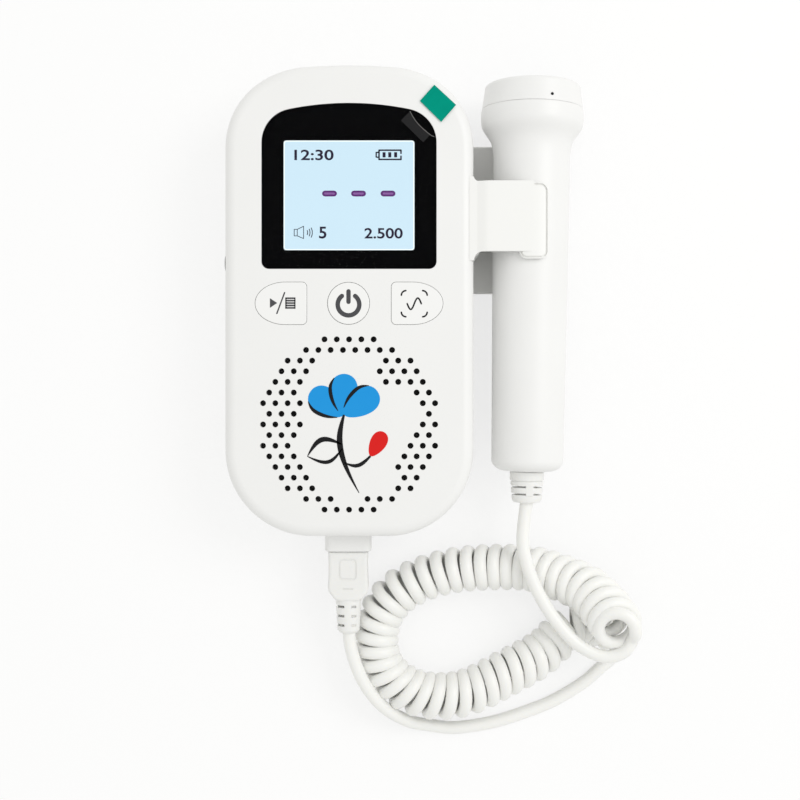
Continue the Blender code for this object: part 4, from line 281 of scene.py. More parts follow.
STEEL = plated_metal("zinc_plated_steel", "#c4c6c8", 0.32)
NICKEL = plated_metal("nickel_plated_contact", "#d6d2c8", 0.24)
BOARD_GREEN = moulded_abs("solder_mask_on_fibreglass", "#1d5c3b", "#194f33", 0.4)
CELL_JACKET = moulded_abs("printed_cell_jacket", "#5c6670", "#525b64", 0.3)
CERAMIC = moulded_abs("fired_piezo_ceramic", "#cbbf9f", "#c2b593", 0.55)
RUBBER = moulded_abs("moulded_dark_rubber", "#2b2b2d", "#262628", 0.8)
FACE_RESIN = moulded_abs("cast_grey_lens_resin", "#cfd3d4", "#c8cccd", 0.25)


THREAD_MM, WAVE_TURN = 0.25, 6.28


def grille_shade_cloth():
    """Black woven sheet, seen only through the grille's holes: painted shade for the dark inside the case.
    """
    material, tree, shader = new_material("woven_black_painted_shade_cloth", "#0c0c0d", 0.9)
    place = add_node(tree, "ShaderNodeTexCoord")
    waves = []
    for direction in ("X", "Y"):
        wave = add_node(
            tree,
            "ShaderNodeTexWave",
            {"bands_direction": direction},
            {"Scale": 1 / (THREAD_MM * MM) / WAVE_TURN, "Distortion": 0.5},
            {"Vector": place.outputs["Object"]},
        )
        waves.append(wave.outputs["Fac"])
    both = add_node(tree, "ShaderNodeMath", {"operation": "MULTIPLY"})
    tree.links.new(waves[0], both.inputs[0])
    tree.links.new(waves[1], both.inputs[1])
    height = {"Height": both.outputs[0]}
    bump = add_node(tree, "ShaderNodeBump", values={"Distance": 0.05 * MM}, links=height)
    tree.links.new(bump.outputs["Normal"], shader.inputs["Normal"])
    return material


GRILLE_SHADE_CLOTH = grille_shade_cloth()
print("Materials:", len(bpy.data.materials))

# %% [markdown]
# Every new piece goes through the same few helpers. A flat outline becomes a slab with rounded rims,
# one shape can be carved from another, and a finished piece rides on a body and wears its finish.
# Outlines come first: lists of points in millimetres.


# %% Outlines
def arc(centre, radius, start, end, steps):
    angles = np.linspace(start, end, steps + 1)
    return [(centre[0] + radius * math.cos(a), centre[1] + radius * math.sin(a)) for a in angles]


def circle(centre, radius, count=64):
    """A round outline of so many points."""
    return arc(centre, radius, 0, TURN * (count - 1) / count, count - 1)


def rounded_box(low, high, corner, steps=5, inset=0.0):
    """A rectangle between two corners, set in by a distance, with round corners."""
    x0, y0 = low[0] + inset + corner, low[1] + inset + corner
    x1, y1 = high[0] - inset - corner, high[1] - inset - corner
    return (
        arc((x1, y1), corner, 0, QUARTER, steps)
        + arc((x0, y1), corner, QUARTER, math.pi, steps)
        + arc((x0, y0), corner, math.pi, math.pi + QUARTER, steps)
        + arc((x1, y0), corner, -QUARTER, 0, steps)
    )


# %% Solids
def slab(outline, low, high, low_rim=0.0, high_rim=0.0, steps=3):
    """An outline in millimetres raised between two levels, with its lower and upper rims rounded."""
    bm = bmesh.new()
    face = bm.faces.new([bm.verts.new((x, y, low)) for x, y in outline])
    bm.normal_update()
    lifted = bmesh.ops.extrude_face_region(bm, geom=[face], use_keep_orig=True)
    top = [v for v in lifted["geom"] if isinstance(v, bmesh.types.BMVert)]
    bmesh.ops.translate(bm, verts=top, vec=(0, 0, high - low))
    bmesh.ops.recalc_face_normals(bm, faces=bm.faces)
    round_rims(bm, low, high, low_rim, high_rim, steps)
    return bm


def round_rims(bm, low, high, low_rim, high_rim, steps):
    """Rounds the edges that lie wholly at the lower or at the upper level."""
    for level, rim in ((low, low_rim), (high, high_rim)):
        if rim:
            round_edges(bm, lambda e, z=level: all(abs(v.co.z - z) < 1e-4 for v in e.verts), rim, steps)


def round_edges(bm, chosen, radius, steps):
    edges = [e for e in bm.edges if chosen(e)]
    bmesh.ops.bevel(
        bm,
        geom=edges,
        offset=radius,
        offset_type="OFFSET",
        segments=steps,
        profile=0.5,
        affect="EDGES",
        clamp_overlap=True,
        material=-1,
    )


def block(low, high, rim=0.0, steps=3):
    """A box between two corners in millimetres, with all its edges rounded."""
    size = Vector(high) - Vector(low)
    middle = (Vector(high) + Vector(low)) / 2
    bm = bmesh.new()
    bmesh.ops.create_cube(bm, size=1, matrix=Matrix.Translation(middle) @ Matrix.Diagonal((*size, 1)))
    if rim:
        round_edges(bm, lambda e: True, rim, steps)
    return bm


def bar(radius, start, end, steps=32):
    """A round bar between two points in millimetres."""
    start, end = Vector(start), Vector(end)
    turn = Vector((0, 0, 1)).rotation_difference(end - start).to_matrix().to_4x4()
    bm = bmesh.new()
    bmesh.ops.create_cone(
        bm,
        cap_ends=True,
        segments=steps,
        radius1=radius,
        radius2=radius,
        depth=(end - start).length,
        matrix=Matrix.Translation((start + end) / 2) @ turn,
    )
    return bm


def turned(profile, steps=96):
    """A profile of (radius, height) points spun once round the Z axis into a closed solid."""
    bm = bmesh.new()
    line = [bm.verts.new((r, 0, h)) for r, h in profile]
    edges = [bm.edges.new(pair) for pair in zip(line[:-1], line[1:])]
    if profile[0][0] > 1e-6:
        edges.append(bm.edges.new((line[-1], line[0])))
    bmesh.ops.spin(
        bm,
        geom=line + edges,
        cent=(0, 0, 0),
        axis=(0, 0, 1),
        angle=TURN,
        steps=steps,
        use_merge=True,
    )
    bmesh.ops.remove_doubles(bm, verts=bm.verts, dist=1e-5)
    bmesh.ops.recalc_face_normals(bm, faces=bm.faces)
    return bm


# %% Moving, joining and carving
def moved(bm, *turns):
    """The same mesh after one or more matrices, the last of which acts first."""
    matrix = Matrix.Identity(4)
    for turn in turns:
        matrix = matrix @ turn
    bmesh.ops.transform(bm, matrix=matrix, verts=bm.verts)
    return bm


def evaluated_mesh(thing):
    """A plain mesh of what an object looks like after its modifiers or its bevel."""
    graph = bpy.context.evaluated_depsgraph_get()
    return bpy.data.meshes.new_from_object(thing.evaluated_get(graph))


def merged(*parts):
    """Several meshes as one, side by side."""
    whole = bmesh.new()
    for part in parts:
        mesh = bpy.data.meshes.new("part")
        part.to_mesh(mesh)
        whole.from_mesh(mesh)
        bpy.data.meshes.remove(mesh)
        part.free()
    return whole


def carve(bm, *others, operation="DIFFERENCE"):
    """Cuts the other shapes out of the first, or joins or intersects them with it."""
    held = []
    for number, shape in enumerate((bm, *others)):
        mesh = bpy.data.meshes.new("carving")
        shape.to_mesh(mesh)
        shape.free()
        thing = bpy.data.objects.new(f"carving {number}", mesh)
        bpy.context.scene.collection.objects.link(thing)
        held.append(thing)
    for other in held[1:]:
        step = held[0].modifiers.new("carve", "BOOLEAN")
        step.operation = operation
        step.solver = "EXACT"
        step.object = other
    result = evaluated_mesh(held[0])
    made = bmesh.new()
    made.from_mesh(result)
    for thing in held:
        mesh = thing.data
        bpy.data.objects.remove(thing)
        bpy.data.meshes.remove(mesh)
    bpy.data.meshes.remove(result)
    return made


def soften_mouths(bm, level, radius, steps=2):
    """Rounds the edges where upright walls meet the flat top at a level."""
    bm.normal_update()

    def is_mouth(edge):
        if len(edge.link_faces) != 2 or any(abs(v.co.z - level) > 1e-3 for v in edge.verts):
            return False
        tilts = sorted(abs(f.normal.z) for f in edge.link_faces)
        return tilts[0] < 0.2 and tilts[1] > 0.99

    round_edges(bm, is_mouth, radius, steps)
    return bm


# %% Finished pieces
def add_piece(name, bm, finish, body, stands_for=(), sharp=32):
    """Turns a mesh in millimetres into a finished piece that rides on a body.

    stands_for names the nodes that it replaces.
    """
    bmesh.ops.scale(bm, vec=(MM, MM, MM), verts=bm.verts)
    mesh = bpy.data.meshes.new(name)
    bm.to_mesh(mesh)
    bm.free()
    mesh.materials.append(finish)
    mesh.shade_smooth()
    mesh.set_sharp_from_angle(angle=math.radians(sharp))
    thing = bpy.data.objects.new(name, mesh)
    bpy.context.scene.collection.objects.link(thing)
    weigh = thing.modifiers.new("even shading", "WEIGHTED_NORMAL")
    weigh.keep_sharp = True
    if body:
        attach(thing, body)
    if stands_for:
        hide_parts(*stands_for)
    return thing


# %% [markdown]
# ## The cord
#
# The cord leaves the probe's strain relief as a plain lead, winds into a curly stretch that lies on
# the table as a ring, and ends as a plain lead at the plug. The curls are a left-handed helix on a
# bent axis, worked out by a formula. A table gives the axis, the radius and spacing of the curls and
# how far their loops turn and lean, because a curly cord never lies evenly: its loops crowd on the
# inside of a bend and open on the outside. The plain leads are lists of given points.

# %% Cord: table of curls and points of the leads
CORD_DIAMETER = 4.0
CURL_STEPS = 22
# Least spacing of the loops along their own direction, as a share of the cord's diameter
LOOP_SPACING_SHARE = 1.005
# x, y, z of the axis, radius and spacing of the loops in mm, their turn and tilt in degrees
CURL_AXIS = np.array(
    [
        (81.3, -99.9, 23.4, 5.3, 4.3, 0, 68),
        (81.6, -99.0, 21.4, 6.0, 4.3, 0, 66),
        (80.2, -96.4, 18.9, 6.3, 4.2, 4, 61),
        (76.9, -92.2, 15.4, 6.2, 4.1, 8, 54),
        (73.3, -88.9, 12.7, 5.9, 4.1, 12, 48),
        (68.0, -86.5, 10.2, 5.7, 4.1, 12, 40),
        (63.0, -84.8, 8.8, 5.6, 4.1, 10, 32),
        (56.6, -83.1, 7.7, 5.4, 4.0, 6, 22),
        (46.83, -82.63, 7.4, 5.4, 4.1, 7, 12),
        (31.02, -83.89, 7.4, 5.4, 4.55, 12, 6),
        (21.53, -86.74, 7.4, 5.4, 4.7, 11, 2),
        (13.62, -91.48, 7.4, 5.4, 4.6, 7, 0),
        (8.56, -99.39, 7.4, 5.3, 4.1, 3, 0),
        (7.61, -107.3, 7.4, 5.3, 4.05, 0, 0),
        (9.82, -114.57, 7.4, 5.3, 4.1, -4, 0),
        (15.2, -119.95, 7.4, 5.4, 4.4, -8, 0),
        (26.9, -123.43, 7.4, 5.5, 4.4, -6, 4),
        (36.39, -122.16, 7.4, 5.5, 4.35, -7, 9),
        (46.83, -117.1, 7.4, 5.5, 4.1, -8, 14),
        (56.32, -112.04, 7.4, 5.4, 4.1, -7, 18),
        (62.4, -107.7, 7.2, 5.1, 4.1, -4, 18),
        (66.8, -103.0, 7.0, 5.0, 4.2, 0, 14),
        (70.6, -100.6, 6.9, 4.9, 4.15, 0, 12),
        (75.0, -101.0, 6.6, 4.5, 4.15, 0, 8),
        (79.8, -102.8, 6.3, 4.1, 4.15, 0, 4),
        (84.2, -104.3, 6.2, 4.0, 4.15, 0, 0),
    ]
)
PROBE_LEAD = [
    (54.3, -60.6, 17.0), (53.6, -66.4, 17.15), (53.05, -72.94, 17.6), (53.25, -76.0, 17.8),
    (53.95, -79.08, 17.8), (54.85, -82.16, 17.8), (57.4, -88.32, 17.8), (60.9, -94.48, 17.8),
    (65.4, -100.5, 17.9), (69.6, -104.7, 18.2), (73.8, -107.3, 18.6), (78.1, -108.6, 19.0),
    (82.0, -108.0, 19.4), (84.9, -105.8, 20.0), (86.4, -102.7, 20.8),
]
PLUG_LEAD = [
    (85.2, -108.3, 2.0), (84.0, -111.2, 2.0), (82.2, -113.3, 2.0), (79.9, -115.2, 2.0),
    (76.14, -118.65, 2.0), (69.73, -123.14, 1.95), (63.31, -126.67, 1.95), (56.9, -129.23, 1.95),
    (50.48, -131.48, 1.95), (44.07, -133.24, 1.95), (37.65, -134.36, 1.95), (31.24, -134.85, 1.95),
    (24.82, -134.0, 2.2), (19.2, -132.5, 4.4), (14.0, -129.5, 7.6), (9.5, -125.7, 10.3),
    (5.9, -121.2, 12.0), (3.3, -116.6, 13.3), (1.2, -111.4, 13.8), (-0.2, -106.04, 13.9),
]
BOOT_END = (-0.8, -100.6, 14.0)
print("Cord points by hand:", len(PROBE_LEAD) + len(PLUG_LEAD), "rows of curls:", len(CURL_AXIS))


# %% A smooth line through points
def smooth_line(knots, spacing):
    """A natural cubic spline through the knots, read at even steps."""
    knots = np.asarray(knots, float)
    gaps = np.linalg.norm(np.diff(knots[:, :3], axis=0), axis=1)
    at = np.concatenate([[0], np.cumsum(gaps)])
    count = len(knots)
    system, right = np.eye(count), np.zeros(knots.shape)
    for i in range(1, count - 1):
        system[i, i - 1 : i + 2] = gaps[i - 1], 2 * (gaps[i - 1] + gaps[i]), gaps[i]
        right[i] = 6 * ((knots[i + 1] - knots[i]) / gaps[i] - (knots[i] - knots[i - 1]) / gaps[i - 1])
    bends = np.linalg.solve(system, right)
    where = np.linspace(0, at[-1], max(2, round(at[-1] / spacing) + 1))
    span = np.clip(np.searchsorted(at, where) - 1, 0, count - 2)
    a = ((at[span + 1] - where) / gaps[span])[:, None]
    b = 1 - a
    size = gaps[span][:, None] ** 2 / 6
    bend = (a**3 - a) * bends[span] + (b**3 - b) * bends[span + 1]
    return a * knots[span] + b * knots[span + 1] + bend * size


# %% Cord: the helix
def curls():
    """Points of the curly stretch, from the probe's lead to the plug's lead."""
    line = smooth_line(CURL_AXIS, 0.2)
    centre, radius, spacing = line[:, :3], line[:, 3], line[:, 4]
    turn, tilt = np.radians(line[:, 5]), np.radians(line[:, 6])[:, None]
    along = np.gradient(centre, axis=0)
    steps = np.linalg.norm(along, axis=1)
    along /= steps[:, None]
    heading = np.arctan2(along[:, 1], along[:, 0]) + turn
    level = np.zeros(len(heading))
    ahead = np.stack([np.cos(heading), np.sin(heading), level], axis=1)
    across = np.stack([-np.sin(heading), np.cos(heading), level], axis=1)
    upright = np.array((0.0, 0.0, 1.0))
    up = np.cos(tilt) * upright + np.sin(tilt) * ahead
    face = np.cos(tilt) * ahead - np.sin(tilt) * upright
    spacing = np.maximum(spacing, LOOP_SPACING_SHARE * CORD_DIAMETER / (along * face).sum(axis=1))
    turns = np.concatenate([[0], np.cumsum(steps[1:] / spacing[1:])])
    first = math.atan2(up[0, 0], across[0, 0])
    share = ((first + QUARTER) / TURN) % 1
    total = round(turns[-1] - share) + share
    turns *= total / turns[-1]
    at = np.linspace(0, total, round(total * CURL_STEPS) + 1)
    rows = np.hstack([centre, across, up, radius[:, None]])
    read = np.stack([np.interp(at, turns, rows[:, k]) for k in range(rows.shape[1])], axis=1)
    angle = (first - TURN * at)[:, None]
    reach = read[:, 9:10]
    points = read[:, :3] + reach * (read[:, 3:6] * np.cos(angle) + read[:, 6:9] * np.sin(angle))
    points[:, 2] = np.maximum(points[:, 2], CORD_DIAMETER / 2)
    return points, total


def cord_route():
    """The whole cord as one line: each lead runs smoothly into the first or last curl."""
    coil, total = curls()
    probe_end = smooth_line([*PROBE_LEAD, *coil[0:9:4]], 1.0)
    nearest = int(np.argmin(np.linalg.norm(probe_end - coil[0], axis=1)))
    plug_end = smooth_line([*coil[-9::4], *PLUG_LEAD, BOOT_END], 1.0)
    start = int(np.argmin(np.linalg.norm(plug_end - coil[-1], axis=1)))
    print("Curls:", round(total, 1))
    return np.vstack([probe_end[:nearest], coil, plug_end[start + 1 :]])


# %% A tube along points
def tube_mesh(points, diameter, sides):
    """A round tube along the points: a curve with a bevel, made a mesh."""
    curve = bpy.data.curves.new("tube", "CURVE")
    curve.dimensions = "3D"
    curve.bevel_depth = diameter / 2
    curve.bevel_resolution = sides
    curve.use_fill_caps = True
    line = curve.splines.new("POLY")
    line.points.add(len(points) - 1)
    for point, place in zip(line.points, points):
        point.co = (*place, 1)
        point.radius = 1
    carrier = bpy.data.objects.new("tube", curve)
    bpy.context.scene.collection.objects.link(carrier)
    bm = bmesh.new()
    bm.from_mesh(evaluated_mesh(carrier))
    bpy.data.objects.remove(carrier)
    bmesh.ops.remove_doubles(bm, verts=bm.verts, dist=1e-4)
    bmesh.ops.recalc_face_normals(bm, faces=bm.faces)
    return bm


# %% Cord: one tube from strain relief to boot
route = cord_route()
cord = add_piece(
    "curly_cord",
    tube_mesh(route, CORD_DIAMETER, 4),
    CORD_PVC,
    None,
    ("cord_lead_probe", "cord_coil", "cord_lead_plug"),
    sharp=60,
)
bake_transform(cord)

# %% [markdown]
# ## The case
#
# Two moulded shells meet at a parting line 12 mm above the table. Each starts as a plain block. Its
# upright corners are rounded to about 25 mm and its rim to 3.5 mm, and its head end draws in by about
# half a millimetre on both sides of the middle. A smaller block carved out of the inside leaves walls
# of 2 mm. The grille is 98 holes on a lattice of equal triangles.

# %% Case outline and values
CASE_WIDTH = 74.6
CASE_LENGTH = 141.4
CASE_HEIGHT = 30.0
PARTING = 12.0
WALL = 2.0
RIM = 3.5
HEAD_CORNER, FOOT_CORNER = 24.8, 25.9
# The head end: where it starts and over what length it fades in, then how far it draws in beside
# the middle and swells in the middle, each with the width that this takes
HEAD_START, HEAD_RAMP = 46.0, 10
HEAD_DIP, DIP_WIDTH = 0.6, 40.0
HEAD_SWELL, SWELL_WIDTH = 0.1, 30.0
GRILLE_Y = -37.1
GRILLE_PITCH = 3.667
GRILLE_RADIUS = 0.9
PIN_LENGTH = 6
# Half-pitch steps from the middle of each row that carry a hole, from the top row down
GRILLE_ROWS = (
    (-4, -2, 0, 2, 4),
    (-7, -5, -3, -1, 1, 3, 5, 7),
    (-10, -8, -6, 6, 8, 10),
    (-11, -9, -7, 5, 7, 9, 11),
    (-12, -10, -8, 6, 8, 10, 12),
    (-13, -11, -9, 11, 13),
    (-14, -12, -10, -8, 12, 14),
    (-13, -11, -9, 13),
    (-14, -12, -10, -8, 12, 14),
    (-13, -11, -9, 11, 13),
    (-14, -12, -10, 10, 12, 14),
    (-13, -11, -9, 9, 11, 13),
    (-12, -10, -8, 8, 10, 12),
    (-11, -9, -7, 9, 11),
    (-10, -8, -6, 8, 10),
    (-7, -5, -3, 3, 5, 7),
    (-4, -2, 0, 2, 4),
)
print("Grille holes:", sum(len(row) for row in GRILLE_ROWS))


# %% Case block
def bow_head_end(bm):
    """Gives the head end's long edges more points and moves them along the case's length."""

    def is_long(e):
        a, b = e.verts
        return a.co.y > HEAD_START and abs(a.co.x - b.co.x) > HEAD_RAMP

    edges = [e for e in bm.edges if is_long(e)]
    bmesh.ops.subdivide_edges(bm, edges=edges, cuts=9, use_grid_fill=True)
    for v in bm.verts:
        reach = min(max((v.co.y - HEAD_START) / HEAD_RAMP, 0.0), 1.0)
        dip = math.sin(math.pi * min(abs(v.co.x), DIP_WIDTH) / DIP_WIDTH) ** 2
        swell = math.cos(math.pi * min(abs(v.co.x), SWELL_WIDTH) / (2 * SWELL_WIDTH)) ** 2
        v.co.y -= HEAD_DIP * reach * dip
        v.co.y += HEAD_SWELL * reach * swell


def case_block(low, high, inset, low_rim, high_rim):
    """A block whose upright corners and rims are rounded like the case, set in by a distance."""
    half, length = CASE_WIDTH / 2 - inset, CASE_LENGTH / 2 - inset
    bm = block((-half, -length, low), (half, length, high))
    for sign, radius in ((1, HEAD_CORNER - inset), (-1, FOOT_CORNER - inset)):

        def is_corner(e, sign=sign):
            a, b = e.verts
            upright = (a.co.xy - b.co.xy).length < 1e-4
            return upright and abs(abs(a.co.x) - half) < 1e-4 and abs(a.co.y - sign * length) < 1e-4

        round_edges(bm, is_corner, radius, 28)
    round_rims(bm, low, high, low_rim, high_rim, 9)
    bow_head_end(bm)
    return bm


# %% Window outline and grille pins
def window_outline(grow=0.0):
    """Straight sides, small lower corners and a shallow arch that rolls over into the sides."""
    half, foot, top = 26.0 + grow, 9.4 - grow, 58.68 + grow
    arch, shoulder, corner = 90.0 + grow, 10.0 + grow, 2.1 + grow
    arch_y = top - arch
    elbow = (half - shoulder, arch_y + math.sqrt((arch - shoulder) ** 2 - (half - shoulder) ** 2))
    lean = math.atan2(elbow[1] - arch_y, elbow[0])
    return (
        arc(elbow, shoulder, 0, lean, 12)
        + arc((0, arch_y), arch, lean, math.pi - lean, 24)[1:-1]
        + arc((-elbow[0], elbow[1]), shoulder, math.pi - lean, math.pi, 12)
        + arc((corner - half, foot + corner), corner, math.pi, math.pi + QUARTER, 6)
        + arc((half - corner, foot + corner), corner, -QUARTER, 0, 6)
    )


def grille_pins():
    """Upright pins that cut the holes: each row lies half a step beside the next."""
    bm = bmesh.new()
    for index, row in enumerate(GRILLE_ROWS):
        y = GRILLE_Y + (len(GRILLE_ROWS) // 2 - index) * GRILLE_PITCH * math.sin(math.pi / 3)
        for step in row:
            bmesh.ops.create_cone(
                bm,
                cap_ends=True,
                segments=20,
                radius1=GRILLE_RADIUS,
                radius2=GRILLE_RADIUS,
                depth=PIN_LENGTH,
                matrix=Matrix.Translation((step * GRILLE_PITCH / 2, y, CASE_HEIGHT - WALL / 2)),
            )
    return bm


# %% Outlines of buttons, keys and socket
BUTTON_X, BUTTON_Y, BUTTON_RADIUS = -0.15, -0.97, 6.24


def side_button_outline(side, grow=0.0):
    """A D: a flat inner side with small corners, and half an ellipse outside."""
    half, corner, inner = 6.32 + grow, 1.4 + grow, 12.62 - grow
    middle, bulge = 19.0, 9.0 + grow
    points = arc((inner + corner, half - corner), corner, QUARTER, math.pi, 6)
    points += arc((inner + corner, corner - half), corner, math.pi, math.pi + QUARTER, 6)
    turns = np.linspace(-QUARTER, QUARTER, 33)
    points += [(middle + bulge * math.cos(a), half * math.sin(a)) for a in turns]
    points = [(side * x, y + BUTTON_Y) for x, y in points]
    return points if side > 0 else points[::-1]


KEY_LENGTH, KEY_HEIGHT, KEY_LEVEL = 9.0, 4.0, 19.0
KEY_YS = {"volume_up_key": 34.5, "volume_down_key": 22.5}
JACK_RADIUS, JACK_Y, JACK_LEVEL = 2.7, 11.5, 23.5


def key_outline(grow=0.0):
    long, high = KEY_LENGTH / 2 + grow, KEY_HEIGHT / 2 + grow
    return rounded_box((-long, -high), (long, high), 1.6 + grow, 6)


def on_left_side(bm, y, level):
    """Turns a shape drawn upwards from its own XY plane so that it stands out of the left side."""
    return moved(bm, Matrix(((0, 0, -1, -CASE_WIDTH / 2), (-1, 0, 0, y), (0, 1, 0, level), (0, 0, 0, 1))))


SOCKET_WIDTH, SOCKET_HEIGHT = 14.3, 9.6
SOCKET_X, SOCKET_LEVEL = -0.8, 14.0
SOCKET_GAP = 0.2


def socket_outline(grow=0.0):
    half, high = SOCKET_WIDTH / 2 + grow, SOCKET_HEIGHT / 2 + grow
    return rounded_box((-half, -high), (half, high), 2.2 + grow, 6)


def socket_shape(grow, length, start, *rims):
    """The socket's outline, drawn so that it runs towards the foot end from a place on Y."""
    place = Matrix.Translation((SOCKET_X, start, SOCKET_LEVEL))
    return moved(slab(socket_outline(grow), *length, *rims), place, Matrix.Rotation(QUARTER, 4, "X"))


def socket_opening():
    return socket_shape(SOCKET_GAP, (-4, 4), -CASE_LENGTH / 2)


# %% Front shell
PARTING_GAP = 0.15
BUTTON_GAP, ROUND_GAP, KEY_GAP = 0.1, 0.12, 0.25
WINDOW_BED = 28.7
INNER_RIM = 1.5
# A cut runs from below the roof to above the case, or through the side wall
BELOW, ABOVE = 20, 33
THROUGH_SIDE = (-4, 3)
front = carve(
    case_block(PARTING + PARTING_GAP, CASE_HEIGHT, 0, 0, RIM),
    case_block(PARTING - 3, CASE_HEIGHT - WALL, WALL, 0, INNER_RIM),
    merged(
        slab(window_outline(ROUND_GAP), WINDOW_BED, ABOVE),
        slab(circle((BUTTON_X, BUTTON_Y), BUTTON_RADIUS + ROUND_GAP), BELOW, ABOVE),
        slab(side_button_outline(-1, BUTTON_GAP), BELOW, ABOVE),
        slab(side_button_outline(1, BUTTON_GAP), BELOW, ABOVE),
    ),
    grille_pins(),
    merged(
        *[on_left_side(slab(key_outline(KEY_GAP), *THROUGH_SIDE), y, KEY_LEVEL) for y in KEY_YS.values()],
        on_left_side(slab(circle((0, 0), JACK_RADIUS, 32), *THROUGH_SIDE), JACK_Y, JACK_LEVEL),
        socket_opening(),
    ),
)
soften_mouths(front, CASE_HEIGHT, 0.08)
print("Front shell faces:", len(front.faces))
add_piece("front_case", front, CASE_ABS, "unit", ("front_shell",), sharp=28)

# %% [markdown]
# The rear shell holds the battery bay. From outside it shows its rim, four sunk screw holes and the
# battery door, which slides out at the foot end.

# %% Rear shell
BAY_HALF, BAY_TOP, BAY_FOOT, BAY_LIP = 15.8, -8.0, -80, 1.0
HEAD_HOLE, SCREW_X, SCREW_YS = 2.6, 26.2, (58.5, -58.0)
rear = carve(
    case_block(0, PARTING, 0, RIM, 0),
    case_block(WALL, PARTING + 3, WALL, INNER_RIM, 0),
    block((-BAY_HALF + BAY_LIP, BAY_FOOT, -3), (BAY_HALF - BAY_LIP, BAY_TOP - BAY_LIP, 1.5)),
    block((-BAY_HALF, BAY_FOOT, BAY_LIP), (BAY_HALF, BAY_TOP, 2.4)),
    merged(
        *[bar(HEAD_HOLE, (x, y, -3), (x, y, 5), 40) for x in (-SCREW_X, SCREW_X) for y in SCREW_YS],
        socket_opening(),
    ),
)
print("Rear shell faces:", len(rear.faces))
add_piece("rear_case", rear, CASE_ABS, "unit", ("rear_shell",), sharp=28)

# %% [markdown]
# A black woven sheet lies against the inside of the grille. It is painted shade: it makes the holes
# look black, as the dark inside the case would.

# %% Speaker cloth, painted shade behind the grille
CLOTH_RADIUS, CLOTH_SHEET = 28.5, (27.75, 27.95)
cloth = slab(circle((0, GRILLE_Y), CLOTH_RADIUS), *CLOTH_SHEET)
add_piece("grille_shade_cloth", cloth, GRILLE_SHADE_CLOTH, "unit")
print("Cloth, mm across:", 2 * CLOTH_RADIUS)

# %% [markdown]
# ## Window and display
#
# The window is one glossy plate, black round a rectangle that stays clear. Seen from outside, the
# display fills that rectangle. The clear part is left open here and the display stands in it, a
# hair below the surface, because a lit display looks the same through clear acrylic.

# %% Window plate
DISPLAY = ((-19.55, 14.85), (19.55, 47.65))
EDGE_SHEET, FACE_SHEET = (29.3, 29.86), (29.4, 29.88)
window = carve(
    slab(window_outline(), CASE_HEIGHT - 1, CASE_HEIGHT, 0, 0.12, 2),
    slab(rounded_box(*DISPLAY, 0.8), 28, 31),
)
add_piece("window_plate", window, WINDOW_BLACK, "unit", ("window_lens",))

edge = slab(rounded_box(*DISPLAY, 0.75, inset=0.05), *EDGE_SHEET)
add_piece("display_edge", edge, DISPLAY_EDGE, "unit")
glow = slab(rounded_box(*DISPLAY, 0.5, inset=0.4), *FACE_SHEET)
add_piece("display_face", glow, DISPLAY_BLUE, "unit")
print("Display below the surface, mm:", round(CASE_HEIGHT - FACE_SHEET[1], 2))

# %% [markdown]
# The display's figures and symbols are dark segments. Each is a thin flat shape: a line of some width
# with round ends, a filled outline, or plain figures set in a simple type.


# %% Flat marks
MARK_THICKNESS = 0.02


def stroke(points, width, steps=6):
    """The outline of a line of even width with round ends."""
    line = [Vector(p) for p in points]
    half = width / 2
    left, right = [], []
    for i, here in enumerate(line):
        before = line[max(i - 1, 0)]
        after = line[min(i + 1, len(line) - 1)]
        way = (after - before).normalized()
        square = Vector((-way.y, way.x))
        left.append(here + square * half)
        right.append(here - square * half)
    end_way = (line[-1] - line[-2]).normalized()
    start_way = (line[0] - line[1]).normalized()
    end_angle = math.atan2(end_way.y, end_way.x)
    start_angle = math.atan2(start_way.y, start_way.x)
    end_cap = arc(line[-1], half, end_angle - QUARTER, end_angle + QUARTER, steps)[1:-1]
    start_cap = arc(line[0], half, start_angle - QUARTER, start_angle + QUARTER, steps)[1:-1]
    return [tuple(p) for p in right] + end_cap + [tuple(p) for p in reversed(left)] + start_cap


def marks(name, outlines, level, finish, body="unit"):
    """Several flat outlines at one level, as one printed piece."""
    parts = [slab(outline, level, level + MARK_THICKNESS) for outline in outlines]
    add_piece(name, merged(*parts), finish, body)


def figures(text, low, high, level):
    """Plain figures fitted between two corners, as a mesh in millimetres."""
    type_set = bpy.data.curves.new("figures", "FONT")
    type_set.body = text
    # The offset makes the strokes bolder
    type_set.offset = 0.018
    carrier = bpy.data.objects.new("figures", type_set)
    bpy.context.scene.collection.objects.link(carrier)
    bm = bmesh.new()
    bm.from_mesh(evaluated_mesh(carrier))
    bpy.data.objects.remove(carrier)
    bmesh.ops.remove_doubles(bm, verts=bm.verts, dist=1e-4)
    lifted = bmesh.ops.extrude_face_region(bm, geom=bm.faces[:], use_keep_orig=True)
    top = [v for v in lifted["geom"] if isinstance(v, bmesh.types.BMVert)]
    bmesh.ops.translate(bm, verts=top, vec=(0, 0, 1))
    xs, ys = [v.co.x for v in bm.verts], [v.co.y for v in bm.verts]
    scale_x = (high[0] - low[0]) / (max(xs) - min(xs))
    scale_y = (high[1] - low[1]) / (max(ys) - min(ys))
    move = Matrix.Translation((low[0] - min(xs) * scale_x, low[1] - min(ys) * scale_y, level))
    size = Matrix.Diagonal((scale_x, scale_y, MARK_THICKNESS, 1))
    moved(bm, move, size)
    bmesh.ops.recalc_face_normals(bm, faces=bm.faces)
    return bm


